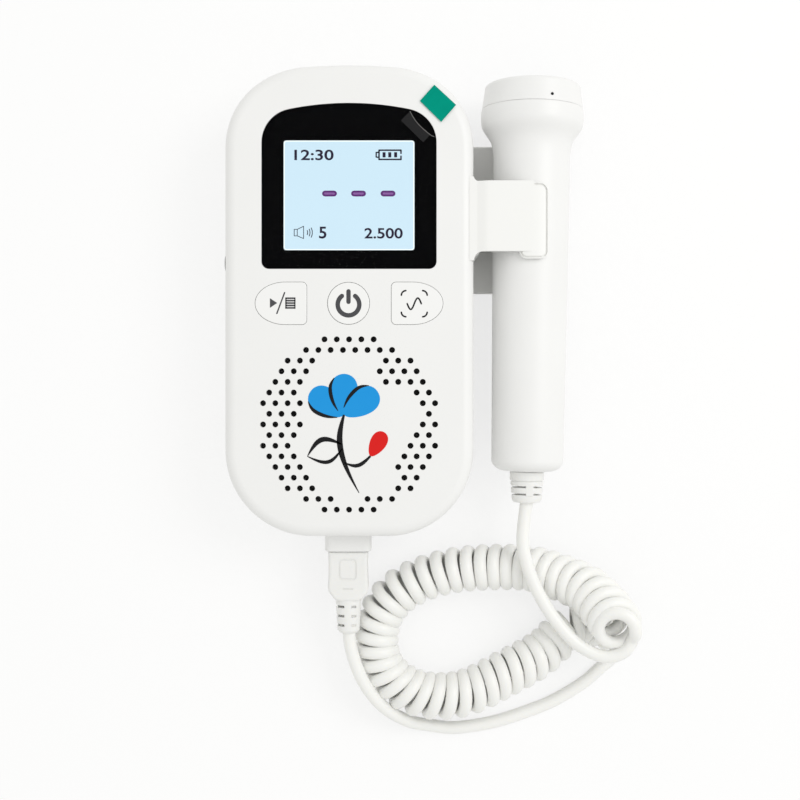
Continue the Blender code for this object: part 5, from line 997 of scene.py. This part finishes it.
# %% Display marks
SCREEN = 29.89
DASH_XS, DASH_Y, DASH_HALF = (-5.82, 2.83, 11.62), 31.77, 1.35
CORE_HALF, CORE_STEP = 1.3, 0.03
dashes = [stroke([(x - DASH_HALF, DASH_Y), (x + DASH_HALF, DASH_Y)], 1.75) for x in DASH_XS]
marks("display_dashes", dashes, SCREEN, PURPLE_INK)
cores = [stroke([(x - CORE_HALF, DASH_Y), (x + CORE_HALF, DASH_Y)], 0.6) for x in DASH_XS]
marks("display_dash_cores", cores, SCREEN + CORE_STEP, MAUVE_INK)

CELL_LEFT, CELL_RIGHT, CELL_LOW, CELL_HIGH = 8.95, 15.5, 41.95, 44.7
NIPPLE_X, NIPPLE_LOW, NIPPLE_HIGH = 8.1, 42.65, 44.0
body_lines = [
    [(CELL_LEFT, CELL_HIGH), (CELL_RIGHT, CELL_HIGH)],
    [(CELL_LEFT, CELL_LOW), (CELL_RIGHT, CELL_LOW)],
    [(CELL_LEFT, CELL_HIGH), (CELL_LEFT, CELL_LOW)],
    [(CELL_RIGHT, CELL_HIGH), (CELL_RIGHT, CELL_HIGH - 0.95)],
    [(CELL_RIGHT, CELL_LOW), (CELL_RIGHT, CELL_LOW + 0.95)],
]
nipple_lines = [
    [(CELL_LEFT, NIPPLE_HIGH + 0.1), (NIPPLE_X, NIPPLE_HIGH)],
    [(CELL_LEFT, NIPPLE_LOW - 0.1), (NIPPLE_X, NIPPLE_LOW)],
    [(NIPPLE_X, NIPPLE_HIGH), (NIPPLE_X, NIPPLE_LOW)],
]
battery = [stroke(line, 0.46) for line in body_lines] + [stroke(line, 0.4) for line in nipple_lines]
marks("display_battery", battery, SCREEN, DISPLAY_INK)
bars = [rounded_box((x, 42.55), (x + 0.9, 44.1), 0.1, 2) for x in (10.0, 11.7, 13.45)]
marks("display_battery_bars", bars, SCREEN, DISPLAY_INK)

SOUND_BACK, SOUND_NECK, SOUND_MOUTH = -16.35, -15.45, -13.55
NECK_LOW, NECK_HIGH, MOUTH_LOW, MOUTH_HIGH = 19.15, 21.1, 18.35, 22.0
sound_lines = [
    [(SOUND_BACK, NECK_HIGH), (SOUND_BACK, NECK_LOW)],
    [(SOUND_NECK, NECK_HIGH), (SOUND_NECK, NECK_LOW)],
    [(SOUND_BACK, NECK_HIGH), (SOUND_NECK, NECK_HIGH), (SOUND_MOUTH, MOUTH_HIGH)],
    [(SOUND_BACK, NECK_LOW), (SOUND_NECK, NECK_LOW), (SOUND_MOUTH, MOUTH_LOW)],
    [(SOUND_MOUTH, MOUTH_HIGH), (SOUND_MOUTH, MOUTH_LOW)],
]
sound = [stroke(line, 0.2, 2) for line in sound_lines]
for radius, half, steps in ((1.75, 0.36, 8), (2.45, 0.42, 10), (3.15, 0.46, 12)):
    sound.append(stroke(arc((-14.1, 20.13), radius, -half, half, steps), 0.24))
marks("display_speaker", sound, SCREEN, DISPLAY_INK)
readings = merged(
    figures("12:30", (-16.3, 41.7), (-4.6, 44.85), SCREEN),
    figures("5", (-8.95, 18.35), (-6.75, 21.9), SCREEN),
    figures("2.500", (4.6, 18.35), (16.0, 21.5), SCREEN),
)
add_piece("display_figures", readings, DISPLAY_INK, "unit")

# %% [markdown]
# A clear film protects the new window. Its upper right corner is cut off along a curve, and a strip
# of tape there carries a green pull tab. The tape shows faintly, greyer than the black under it, as
# painted sheen, and the film's cut edge as a painted highlight. Each sheet lies a few hundredths of a
# millimetre above the one below.

# %% Film, tape and tab
FILM_SHEET, TAPE_SHEET, TAB_SHEET = (30.06, 30.12), (30.16, 30.24), (30.3, 30.42)
FILM_CUT_LEVEL = 30.25
film = slab(window_outline(-0.8), *FILM_SHEET)
add_piece("protective_film", film, CLEAR_FILM, "unit", ("screen_film",))
FILM_CUT = [
    (18.18, 56.23), (18.85, 54.95), (19.67, 53.64), (20.6, 52.45), (21.67, 51.4),
    (23.16, 50.06), (24.14, 49.28), (24.75, 48.9), (25.39, 48.66),
]
# The cut edge's grey line is a painted highlight.
marks("film_cut_edge", [stroke(FILM_CUT, 0.12, 2)], FILM_CUT_LEVEL, FILM_EDGE_HIGHLIGHT)
TAPE = [(15.44, 53.52), (22.14, 47.0), (23.78, 48.78)] + FILM_CUT[-3::-1]
# The tape's grey is painted sheen over the black window.
add_piece("tape_strip", slab(TAPE, *TAPE_SHEET), TAPE_SHEEN_GREY, "unit")
TAB = [(25.43, 64.09), (21.13, 59.29), (27.48, 53.05), (31.9, 58.12)]
add_piece("pull_tab", slab(TAB, *TAB_SHEET), GREEN_FILM, "unit", ("film_tab",))
print("Tab, mm along:", round(math.dist(TAB[0], TAB[1]), 2))

# %% [markdown]
# ## Buttons
#
# Three hard caps stand 0.12 mm proud in their openings, and their rims are softly rounded. They are
# smoother than the case. Two small keys for the volume stand out of the left side in the same way.


# %% Button caps
CAP_FOOT, CAP_TOP = 24.0, CASE_HEIGHT + 0.12
KEY_FOOT, KEY_TOP = -3.0, 0.8


def button_cap(name, outline, body, node):
    cap = slab(outline, CAP_FOOT, CAP_TOP, 0, 0.22, 3)
    add_piece(name, cap, BUTTON_ABS, body, (node,))


button_cap("menu_cap", side_button_outline(-1), "menu_button_body", "menu_button")
button_cap("mode_cap", side_button_outline(1), "mode_button_body", "mode_button")
button_cap("power_cap", circle((BUTTON_X, BUTTON_Y), BUTTON_RADIUS), "power_button_body", "power_button")
for label, y in KEY_YS.items():
    key = on_left_side(slab(key_outline(), KEY_FOOT, KEY_TOP, 0, 0.4, 3), y, KEY_LEVEL)
    add_piece(label + "_cap", key, BUTTON_ABS, label + "_body", (label,))
print("Caps:", 3 + len(KEY_YS))

# %% [markdown]
# Each cap carries a printed sign. The left one has a triangle, a slanted line and a striped panel, the
# middle one the usual broken ring and bar, and the right one four rounded corners round a wave.

# %% Left sign
PANEL_LEFT, PANEL_RIGHT, PANEL_LOW, PANEL_HIGH = -19.0, -15.95, -2.6, 0.78
menu_marks = [
    [(-23.57, 0.55), (-23.57, -2.34), (-21.4, -0.88)],
    stroke([(-21.5, -4.0), (-19.2, 2.2)], 0.42),
]
for y in (PANEL_LOW, -1.88, -1.16, -0.44, 0.28):
    menu_marks.append(rounded_box((PANEL_LEFT, y), (PANEL_RIGHT, y + 0.5), 0.05, 2))
for left, right in ((PANEL_LEFT, -18.6), (-16.3, PANEL_RIGHT)):
    menu_marks.append(rounded_box((left, PANEL_LOW), (right, PANEL_HIGH), 0.05, 2))
marks("menu_symbol", menu_marks, CAP_TOP, GREY_INK, "menu_button_body")
print("Left sign, outlines:", len(menu_marks))

# %% Middle sign
RING_Y, RING_RADIUS, RING_OPENING = -1.35, 3.22, 0.66
ring = arc((BUTTON_X, RING_Y), RING_RADIUS, QUARTER + RING_OPENING, QUARTER + TURN - RING_OPENING, 40)
power_marks = [
    stroke(ring, 1.34, 8),
    stroke([(BUTTON_X, 2.6), (BUTTON_X, -0.55)], 1.3, 8),
]
marks("power_symbol", power_marks, CAP_TOP, GREY_INK, "power_button_body")
print("Middle sign, mm across:", 2 * RING_RADIUS + 1.34)

# %% Right sign
MODE_X, MODE_Y, SIGN_LINE = 19.45, -1.1, 0.48
CORNER_X, CORNER_Y, CORNER_RADIUS = 2.45, 2.5, 1.4
WAVE_HALF, WAVE_HEIGHT = 2.1, 1.7


def corner_line(sx, sy):
    """A quarter of a ring in one corner of the sign."""
    points = []
    for turn in np.linspace(0.04, QUARTER - 0.04, 8):
        across = CORNER_X + CORNER_RADIUS * math.cos(turn)
        up = CORNER_Y + CORNER_RADIUS * math.sin(turn)
        points.append((MODE_X + sx * across, MODE_Y + sy * up))
    return points


mode_marks = [stroke(corner_line(sx, sy), SIGN_LINE) for sx in (-1, 1) for sy in (-1, 1)]
wave = []
for x in np.linspace(-WAVE_HALF, WAVE_HALF, 25):
    wave.append((MODE_X + x, MODE_Y + WAVE_HEIGHT * math.sin(x / WAVE_HALF * math.pi)))
mode_marks.append(stroke(wave, SIGN_LINE))
marks("mode_symbol", mode_marks, CAP_TOP, BLACK_INK, "mode_button_body")
print("Right sign, outlines:", len(mode_marks))

# %% [markdown]
# ## Printed blossom
#
# The middle of the grille has no holes and carries a small print. This one is a plain sprig of a
# blue blossom and a red bud, drawn with a few brush strokes that swell and thin.


# %% Blossom print
PETAL_ANGLES, PETAL_LENGTH, PETAL_WIDTH = (35, 90, 145), 12.2, 10.2
LEAST_STROKE = 0.08


def brush(points, widths):
    """A brush stroke: a smooth line through points whose width swells and thins along it."""
    line = smooth_line([(*p, 0.0, w) for p, w in zip(points, widths)], 0.5)
    way = np.gradient(line[:, :2], axis=0)
    way /= np.linalg.norm(way, axis=1)[:, None]
    square = np.stack([-way[:, 1], way[:, 0]], axis=1)
    half = np.maximum(line[:, 3], LEAST_STROKE)[:, None] / 2
    left, right = line[:, :2] + square * half, line[:, :2] - square * half
    return [tuple(p) for p in right] + [tuple(p) for p in left[::-1]]


def petal(centre, degrees, length=PETAL_LENGTH, width=PETAL_WIDTH):
    """A drop shape that is widest towards its far end."""
    angle = math.radians(degrees)
    points = []
    for t in np.linspace(0, TURN, 41)[:-1]:
        reach = length * (1 - math.cos(t)) / 2
        across = width / 2 * math.sin(t) * (0.55 + 0.45 * (reach / length))
        c, s = math.cos(angle), math.sin(angle)
        points.append((centre[0] + reach * c - across * s, centre[1] + reach * s + across * c))
    return points


PRINT, LAYER = CASE_HEIGHT + 0.005, 0.004
FLOWER, BUD = (-1.5, -34.2), (6.4, -46.5)
petals = [petal(FLOWER, angle) for angle in PETAL_ANGLES]
for number, outline in enumerate(petals):
    marks(f"print_blue_{number + 1}", [outline], PRINT + LAYER * number, BLUE_INK)
marks("print_red", [petal(BUD, 60, 8.2, 6.2)], PRINT, RED_INK)
strokes = [
    brush([FLOWER, (-2.8, -41), (-1.2, -49), (3.0, -57.5)], [0.6, 1.7, 1.3, 0.2]),
    brush([(-1.4, -48.5), (2.2, -49.4), BUD], [0.2, 1.1, 0.6]),
    brush([(-2.2, -43.0), (-8.0, -41.6), (-12.4, -46.6)], [0.3, 1.5, 0.2]),
    brush([(-2.0, -44.2), (-6.0, -48.2), (-12.4, -46.6)], [0.2, 1.1, 0.2]),
]
for rim in petals:
    strokes.append(brush(rim[4:19:3], [0.2, 0.8, 1.1, 0.9, 0.2]))
marks("print_black", strokes, PRINT + 0.03, BLACK_INK)
print("Blossom: petals", len(petals), "strokes", len(strokes))

# %% [markdown]
# ## Socket, plug and boot
#
# The cord plugs into a collar at the foot end. The plug is moulded round its metal nose, with a
# recessed thumb pad on top, and a slotted boot lets the cord bend without a kink.

# %% Socket collar
COLLAR_LENGTH, COLLAR_START, COLLAR_WALL = 11.8, -CASE_LENGTH / 2 + 6.0, 1.4
MOUTH = COLLAR_START - COLLAR_LENGTH
socket = carve(
    socket_shape(0, (0, COLLAR_LENGTH), COLLAR_START, 0, 0.5, 3),
    socket_shape(-COLLAR_WALL, (0, 16), COLLAR_START - COLLAR_WALL),
)
add_piece("socket_collar", socket, CASE_ABS, "unit", ("socket_housing",))
print("Collar stands out, mm:", round(-CASE_LENGTH / 2 - MOUTH, 2))


# %% Plug
def bend(a, b, c, steps):
    """A quadratic curve from a to c that leans towards b."""
    points = []
    for t in np.linspace(0, 1, steps + 1):
        weights = ((1 - t) ** 2, 2 * t * (1 - t), t**2)
        points.append(tuple(sum(w * p[k] for w, p in zip(weights, (a, b, c))) for k in (0, 1)))
    return points


def plug_outline():
    """A slight waist, shoulders that draw in, and a rounded end under the boot, along -Y."""
    side = bend((6.15, 0), (5.85, 5.6), (6.25, 10.6), 6)
    side += bend((6.25, 10.6), (6.2, 12.7), (4.9, 13.6), 8)[1:]
    side += bend((4.9, 13.6), (4.5, 15.1), (1.4, 15.3), 8)[1:]
    return [(x, -y) for x, y in [(-x, y) for x, y in side] + side[::-1]]


PLUG_GAP, PLUG_TOP, PLUG_ROUND = 0.12, 18.3, 2.4
PAD, PAD_LINE, PAD_DEPTH = ((-3.79, -85.2), (1.84, -78.7)), 0.6, 0.3
SLIT = ((-2.4, -88.1), (0.8, -87.75))
plug_shape = [(x + SOCKET_X, y + MOUTH - PLUG_GAP) for x, y in plug_outline()]
plug = carve(
    slab(plug_shape, 2 * SOCKET_LEVEL - PLUG_TOP, PLUG_TOP, PLUG_ROUND, PLUG_ROUND, 6),
    carve(
        slab(rounded_box(*PAD, 1.3, 6), PLUG_TOP - PAD_DEPTH, 19),
        slab(rounded_box(*PAD, 0.8, 6, inset=PAD_LINE), 17, 20),
    ),
    slab(rounded_box(*SLIT, 0.15, 3), PLUG_TOP - PAD_DEPTH, 19),
)
plug_piece = add_piece("plug_shell", plug, BOOT_PVC, "unit", ("plug_body",))
print("Plug, mm thick:", round(2 * (PLUG_TOP - SOCKET_LEVEL), 2))

# %% Boot
BOOT_Y, BOOT_LENGTH, BOOT_TOP, BOOT_TIP = -91.0, 10.95, 4.05, 3.45
BOOT_CHAMFER, TIP_LENGTH, TIP_DROP = 0.3, 0.8, 0.7
SLOT_ROWS, SLOT_WIDTH = (2.6, 5.5, 8.4), 0.8
# Slots beside the web: their two ends across the boot, and how near they come to its middle
SIDE_SLOTS = ((-3.15, -1.15, 0.7), (1.0, 2.5, 2.3))
NOTCH_HALF, NOTCH_DEPTH = 2.2, 0.35


def boot():
    """A tapered sleeve whose slots run in from both sides, leaving a web and a core."""
    tip = BOOT_LENGTH - TIP_LENGTH
    profile = [(0, 0), (BOOT_TOP - BOOT_CHAMFER, 0), (BOOT_TOP, -BOOT_CHAMFER)]
    profile += [(BOOT_TIP, -tip), (BOOT_TIP - TIP_DROP, -BOOT_LENGTH), (0, -BOOT_LENGTH)]
    slots = []
    for row in SLOT_ROWS:
        low, high = -row - SLOT_WIDTH / 2, -row + SLOT_WIDTH / 2
        skin = BOOT_TOP + (BOOT_TIP - BOOT_TOP) * row / tip - NOTCH_DEPTH
        slots.append(block((-5, -NOTCH_HALF, low), (-skin, NOTCH_HALF, high), 0.08, 2))
        for near, far, depth in SIDE_SLOTS:
            slots.append(block((near, depth, low), (far, 5, high), 0.08, 2))
            slots.append(block((near, -5, low), (far, -depth, high), 0.08, 2))
    return carve(turned(profile, 48), merged(*slots))


boot_place = Matrix.Translation((SOCKET_X, BOOT_Y, SOCKET_LEVEL))
sleeve = moved(boot(), boot_place, Matrix.Rotation(-QUARTER, 4, "X"))
boot_piece = add_piece("plug_boot_sleeve", sleeve, BOOT_PVC, "unit", ("plug_boot",))
print("Boot, slots:", len(SLOT_ROWS) * (1 + 2 * len(SIDE_SLOTS)))

# %% [markdown]
# ## Probe
#
# The probe is round, so each of its pieces is a profile spun about an upright axis: a handle that
# tapers a little and flares into the head, and a cap behind a seam. The axis of the real one lies
# along the case and leans 0.85 degrees, so every probe piece is then laid along that axis.

# %% Probe axis and profile
PROBE_X, PROBE_LEVEL, PROBE_LEAN = 55.17, 17.0, math.radians(0.85)
PROBE_PLACE = Matrix.Translation((PROBE_X, 0, PROBE_LEVEL))
HANDLE_FOOT, FOOT_RADIUS, FOOT_ROUND = -51.7, 11.05, (4.4, 3.4)
CAP_END, CAP_RADIUS, CAP_ROUND = 66.9, 14.75, 1.25


def on_probe(bm):
    return moved(bm, PROBE_PLACE, Matrix.Rotation(-PROBE_LEAN, 4, "Z"), Matrix.Rotation(-QUARTER, 4, "X"))


def smooth_profile(points, spacing=0.6):
    """The same points joined by a smooth curve."""
    line = smooth_line([(r, h, 0.0) for r, h in points], spacing)
    return [(r, h) for r, h, _ in line]


# %% Probe handle and cap
head = smooth_profile(
    [
        (15.6, 59.3), (15.75, 58.3), (15.72, 56.5), (15.5, 54.4), (14.9, 53.1),
        (13.7, 51.4), (12.65, 49.6), (12.05, 47.5), (11.75, 44.0),
    ]
)
foot = []
for a in np.linspace(0, QUARTER, 13):
    across = FOOT_RADIUS - FOOT_ROUND[0] + FOOT_ROUND[0] * math.cos(a)
    foot.append((across, HANDLE_FOOT + FOOT_ROUND[1] - FOOT_ROUND[1] * math.sin(a)))
bore = [(3.6, HANDLE_FOOT), (3.6, -49.5), (9.2, -48.5), (9.8, 45), (13.6, 55), (13.9, 59.3)]
handle = turned(head + [(11.5, 1.5), (11.12, -40)] + foot + bore, 128)
add_piece("probe_grip", on_probe(handle), PROBE_ABS, "probe", ("probe_handle",))

rim = []
for a in np.linspace(QUARTER, 0, 9):
    across = CAP_RADIUS - CAP_ROUND + CAP_ROUND * math.cos(a)
    rim.append((across, CAP_END - CAP_ROUND + CAP_ROUND * math.sin(a)))
skirt = [(15.1, 62.5), (15.5, 60.0), (15.5, 59.55), (15.4, 59.42)]
inside = [(13.6, 59.42), (13.0, 60.5), (12.1, 64.0)]
cap = turned([(12.1, CAP_END)] + rim + skirt + inside, 128)
add_piece("probe_head_cap", on_probe(cap), PROBE_ABS, "probe", ("probe_cap",))
print("Probe length, mm:", round(CAP_END - HANDLE_FOOT, 1))

# %% Dot and face
DOT_TILT, DOT_HEIGHT = math.radians(16.4), 61.2
dot_way = Vector((math.sin(DOT_TILT), -math.cos(DOT_TILT), 0))
dot_middle = Vector((0, 0, DOT_HEIGHT))
dot = bar(0.45, dot_way * 15.0 + dot_middle, dot_way * 15.42 + dot_middle, 24)
add_piece("head_dot", on_probe(dot), BLACK_INK, "probe")
face = turned([(0, CAP_END), (11.6, CAP_END), (11.85, 66.75), (11.85, 65.4), (0, 65.4)], 96)
add_piece("acoustic_face_disc", on_probe(face), FACE_RESIN, "probe", ("transducer_face",))
print("Acoustic face, mm across:", 2 * 11.85)

# %% [markdown]
# The sleeve where the cord leaves the probe is a soft strain relief: a collar, then rings with grooves
# between them, so that it bends evenly. A flat web through the middle joins the rings.

# %% Strain relief
GROOVE = 2.8
collar = [(0, -50.2), (3.0, -50.2), (3.0, -51.9), (5.1, -51.9), (5.28, -52.15), (5.25, -54.3), (5.1, -54.55)]
first_ring = [(4.7, -54.6), (4.7, -54.8), (4.92, -54.86), (5.05, -55.3), (4.95, -56.15)]
second_ring = [(GROOVE, -56.17), (GROOVE, -56.7), (4.8, -56.72), (4.93, -57.3), (4.8, -58.4)]
last_ring = [(GROOVE, -58.42), (GROOVE, -58.95), (4.6, -58.97), (4.7, -59.5), (4.58, -60.5)]
end = [(4.2, -61.2), (3.2, -61.45), (0, -61.45)]
relief = turned(collar + first_ring + second_ring + last_ring + end, 64)
web = block((-0.7, -4.9, -59.2), (1.6, 4.9, -55.8), 0.2, 2)
relief = on_probe(carve(relief, web, operation="UNION"))
add_piece("strain_relief_sleeve", relief, BOOT_PVC, "probe", ("probe_strain_relief",))
print("Strain relief, mm long:", round(HANDLE_FOOT - end[-1][1], 2))

# %% [markdown]
# ## Holder
#
# The holder is screwed to the case's right side. A flat plate with a trough carries the handle. A
# riser stands against the case, and from it a short arm with a curved lip reaches over the handle, so
# the probe can only slide out along its axis. The room for the handle is cut out of everything last.

# %% Holder sizes and helpers
HOLD_IN = CASE_WIDTH / 2 + 0.05
ARM_TOP, ARM_WALL, ARM_BEND = 30.6, 1.7, 4.2
ARM_FOOT, ARM_HEAD, ARM_END = 14.6, 35.6, 55.3
# The lip in plan, and the two edges of the fine line sunk round it, each with its corners' radius
LIP = ((50.9, 12.4), (59.35, 34.9), 2.3)
LINE_OUTSIDE = ((51.05, 12.55), (59.2, 34.75), 2.15)
LINE_INSIDE = ((51.65, 13.15), (58.6, 34.15), 1.55)
# Radii round the handle's axis: the lip's top, the bottom of its line, and the room for the handle
LIP_RADIUS, LINE_RADIUS, HANDLE_ROOM = 13.45, 12.85, 12.05
TROUGH_OUT, TROUGH_IN, TROUGH_SHIFT = 13.85, 11.5, 0.45
TROUGH_LOW, TROUGH_HIGH = 9.0, 46.7


def run_along_y(outline, low, high):
    """An outline drawn across the case, made a bar between two places on Y."""
    place = Matrix.Translation((0, high, 0))
    return moved(slab(outline, 0, high - low), place, Matrix.Rotation(QUARTER, 4, "X"))


def probe_room(radius):
    """A long round bar on the probe's axis."""
    return on_probe(bar(radius, (0, 0, -20), (0, 0, 60), 128))


# %% Holder arm
IN_CASE = CASE_WIDTH / 2 - 3
HEAD_FLARE, FOOT_FLARE, HEAD_NOSE, FOOT_NOSE = 1.35, 2.6, 0.8, 1.3
ELBOW = 3.2


def arm_plan():
    """The arm from above: it spreads where it meets the case, and its free corners are rounded."""
    top = [(IN_CASE, ARM_HEAD + HEAD_FLARE)]
    top += arc((HOLD_IN + HEAD_FLARE, ARM_HEAD + HEAD_FLARE), HEAD_FLARE, math.pi, 3 * QUARTER, 8)
    end = arc((ARM_END - HEAD_NOSE, ARM_HEAD - HEAD_NOSE), HEAD_NOSE, QUARTER, 0, 5)
    end += arc((ARM_END - FOOT_NOSE, ARM_FOOT + FOOT_NOSE), FOOT_NOSE, 0, -QUARTER, 6)
    foot = arc((HOLD_IN + FOOT_FLARE, ARM_FOOT - FOOT_FLARE), FOOT_FLARE, QUARTER, math.pi, 10)
    foot += [(IN_CASE, ARM_FOOT - FOOT_FLARE)]
    return (top + end + foot)[::-1]


rim_lap = arc((CASE_WIDTH / 2 - RIM, CASE_HEIGHT - RIM), 3.56, 0, 0.95, 8)
arm_side = [(HOLD_IN, 2.0), (HOLD_IN + ARM_WALL, 2.0)]
arm_side += arc((HOLD_IN + ELBOW, ARM_TOP - ELBOW), ELBOW - ARM_WALL, math.pi, QUARTER, 8)
arm_side += [(60.0, ARM_TOP - ARM_WALL), (60.0, ARM_TOP), (HOLD_IN + ARM_BEND, ARM_TOP)]
arm_side += [(HOLD_IN + 2.9, ARM_TOP - 0.35), (HOLD_IN + 0.9, ARM_TOP - 1.05)] + rim_lap[::-1]
arm = carve(run_along_y(arm_side, 8.0, 40.0), slab(arm_plan(), 0, 40), operation="INTERSECT")
print("Arm faces:", len(arm.faces))

# %% Holder lip, trough and plate
lip = carve(
    slab(rounded_box(*LIP, 8), 20, 31.5),
    probe_room(LIP_RADIUS),
    operation="INTERSECT",
)
lip_line = carve(
    slab(rounded_box(*LINE_OUTSIDE, 8), 20, 31.5),
    slab(rounded_box(*LINE_INSIDE, 8), 19, 32),
    probe_room(LINE_RADIUS),
)
trough_middle = (PROBE_X + TROUGH_SHIFT, PROBE_LEVEL)
left, right = -QUARTER - 0.75, -QUARTER + 0.66
trough_outline = arc(trough_middle, TROUGH_OUT, left, right, 32)
trough_outline += arc(trough_middle, TROUGH_IN, right, left, 32)
trough = carve(run_along_y(trough_outline, TROUGH_LOW, TROUGH_HIGH))
plate = slab(rounded_box((HOLD_IN, 4.2), (48.0, 51.2), 1.4, 6), 1.0, 3.0, 0.3, 0.5, 3)
under = block((46.0, TROUGH_LOW, 1.0), (55.6, TROUGH_HIGH, 4.2), 0.3, 2)
riser = block((HOLD_IN, ARM_FOOT, 1.2), (HOLD_IN + ARM_WALL, ARM_HEAD, 20))
bosses = merged(*[bar(3.0, (HOLD_IN + 1.0, y, 7.5), (HOLD_IN + 5.1, y, 7.5), 40) for y in (20.5, 30.0)])
lip = carve(lip, lip_line)
holder = carve(plate, trough, under, riser, bosses, arm, lip, operation="UNION")
holder = carve(holder, probe_room(HANDLE_ROOM))
print("Holder faces:", len(holder.faces))
add_piece("holder_clip", holder, HOLDER_ABS, "unit", ("probe_holder",))

# %% [markdown]
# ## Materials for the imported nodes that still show
#
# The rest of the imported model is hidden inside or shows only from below. Each node gets the finish
# of its real material.

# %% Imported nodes
NODE_FINISH = (
    (CASE_ABS, ("battery_door", "display_frame")),
    (DISPLAY_BLUE, ("display_panel",)),
    (BOARD_GREEN, ("main_board", "key_board", "probe_board")),
    (BLACK_ABS, ("menu_switch", "power_switch", "mode_switch", "headphone_jack", "socket_tongue")),
    (STEEL, ("speaker_basket", "speaker_magnet", "battery_spring_left", "battery_spring_right")),
    (STEEL, ("case_screw_1", "case_screw_2", "case_screw_3", "case_screw_4")),
    (STEEL, ("holder_screw_1", "holder_screw_2")),
    # The speaker cone takes the same black as the painted shade sheet, and lies hidden under it.
    (GRILLE_SHADE_CLOTH, ("speaker_cone",)),
    (RUBBER, ("speaker_gasket", "cap_seal")),
    (CELL_JACKET, ("battery_left", "battery_right")),
    (NICKEL, ("battery_bridge_plate", "battery_plus_contact", "battery_minus_contact", "plug_nose")),
    (CERAMIC, ("sending_crystal", "receiving_crystal")),
)
for finish, names in NODE_FINISH:
    for name in names:
        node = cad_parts[name]
        node.data.materials.clear()
        node.data.materials.append(finish)
print("Packed nodes dressed:", sum(len(names) for _, names in NODE_FINISH))

# %% [markdown]
# ## Where the cord leaves the probe
#
# The cord starts at the end of the probe's strain relief; this prints that first point.

print("Cord leaves the probe at, mm:", PROBE_LEAD[0])

# %% [markdown]
# ## Floor and light
#
# A white table and plain soft light. For the camera and in reflections the table glows and the world
# is bright, so the table runs out into white. For everything else both are lower, so the shapes keep
# their shading. One large soft box at the right makes the left flanks a little darker.


# %% Floor
def seen_directly(tree):
    """1 for rays from the camera and from glossy reflections, 0 for all others."""
    path = add_node(tree, "ShaderNodeLightPath")
    either = add_node(tree, "ShaderNodeMath", {"operation": "MAXIMUM"})
    tree.links.new(path.outputs["Is Camera Ray"], either.inputs[0])
    tree.links.new(path.outputs["Is Glossy Ray"], either.inputs[1])
    return either.outputs[0]


GLOW_STRENGTH, GLOW_SHARE = 1.04, 0.68
FLOOR, tree, shader = new_material("matt_white_table", "#f2f2f1", 0.9)
grain(tree, shader, 2, 0.01)
glow = add_node(tree, "ShaderNodeEmission", values={"Color": (1, 1, 1, 1), "Strength": GLOW_STRENGTH})
share = add_node(tree, "ShaderNodeMath", {"operation": "MULTIPLY"}, links={0: seen_directly(tree)})
share.inputs[1].default_value = GLOW_SHARE
mix = add_node(tree, "ShaderNodeMixShader", links={"Fac": share.outputs[0]})
tree.links.new(shader.outputs["BSDF"], mix.inputs[1])
tree.links.new(glow.outputs["Emission"], mix.inputs[2])
tree.links.new(mix.outputs["Shader"], tree.nodes["Material Output"].inputs["Surface"])
TABLE_HALF, TABLE_DROP = 2.0, 0.0001
floor_mesh = bpy.data.meshes.new("table")
bm = bmesh.new()
bmesh.ops.create_grid(bm, x_segments=1, y_segments=1, size=TABLE_HALF)
bmesh.ops.translate(bm, verts=bm.verts, vec=(0, 0, -TABLE_DROP))
bm.to_mesh(floor_mesh)
bm.free()
floor_mesh.materials.append(FLOOR)
floor = bpy.data.objects.new("table", floor_mesh)
bpy.context.scene.collection.objects.link(floor)
print("Table, m across:", 2 * TABLE_HALF)

# %% World light
WORLD_LIGHT = {"To Min": 0.818, "To Max": 1.0}
world = bpy.data.worlds.new("studio")
bpy.context.scene.world = world
world.use_nodes = True
tree = world.node_tree
sky = tree.nodes["Background"]
seen = seen_directly(tree)
level = add_node(tree, "ShaderNodeMapRange", values=WORLD_LIGHT, links={"Value": seen})
tree.links.new(level.outputs["Result"], sky.inputs["Strength"])
warmth = add_node(tree, "ShaderNodeMix", {"data_type": "RGBA"}, links={"Factor": seen})
warmth.inputs[6].default_value = (1, 1, 0.98, 1)
warmth.inputs[7].default_value = (1, 1, 1, 1)
tree.links.new(warmth.outputs[2], sky.inputs["Color"])
print("World strength away from the camera:", WORLD_LIGHT["To Min"])

# %% Soft box
BOX_PLACE, BOX_AIM = Vector((0.60, 0.25, 0.75)), Vector((0.015, -0.03, 0.0))
lamp = bpy.data.lights.new("key_soft_box", "AREA")
lamp.shape = "RECTANGLE"
lamp.size = 0.5
lamp.size_y = 0.5
lamp.energy = 2.4
lamp.color = (1.0, 0.995, 1.0)
soft_box = bpy.data.objects.new("key_soft_box", lamp)
soft_box.location = BOX_PLACE
soft_box.rotation_euler = (BOX_AIM - BOX_PLACE).to_track_quat("-Z", "Y").to_euler()
bpy.context.scene.collection.objects.link(soft_box)
print("Soft box, W:", round(lamp.energy, 2))
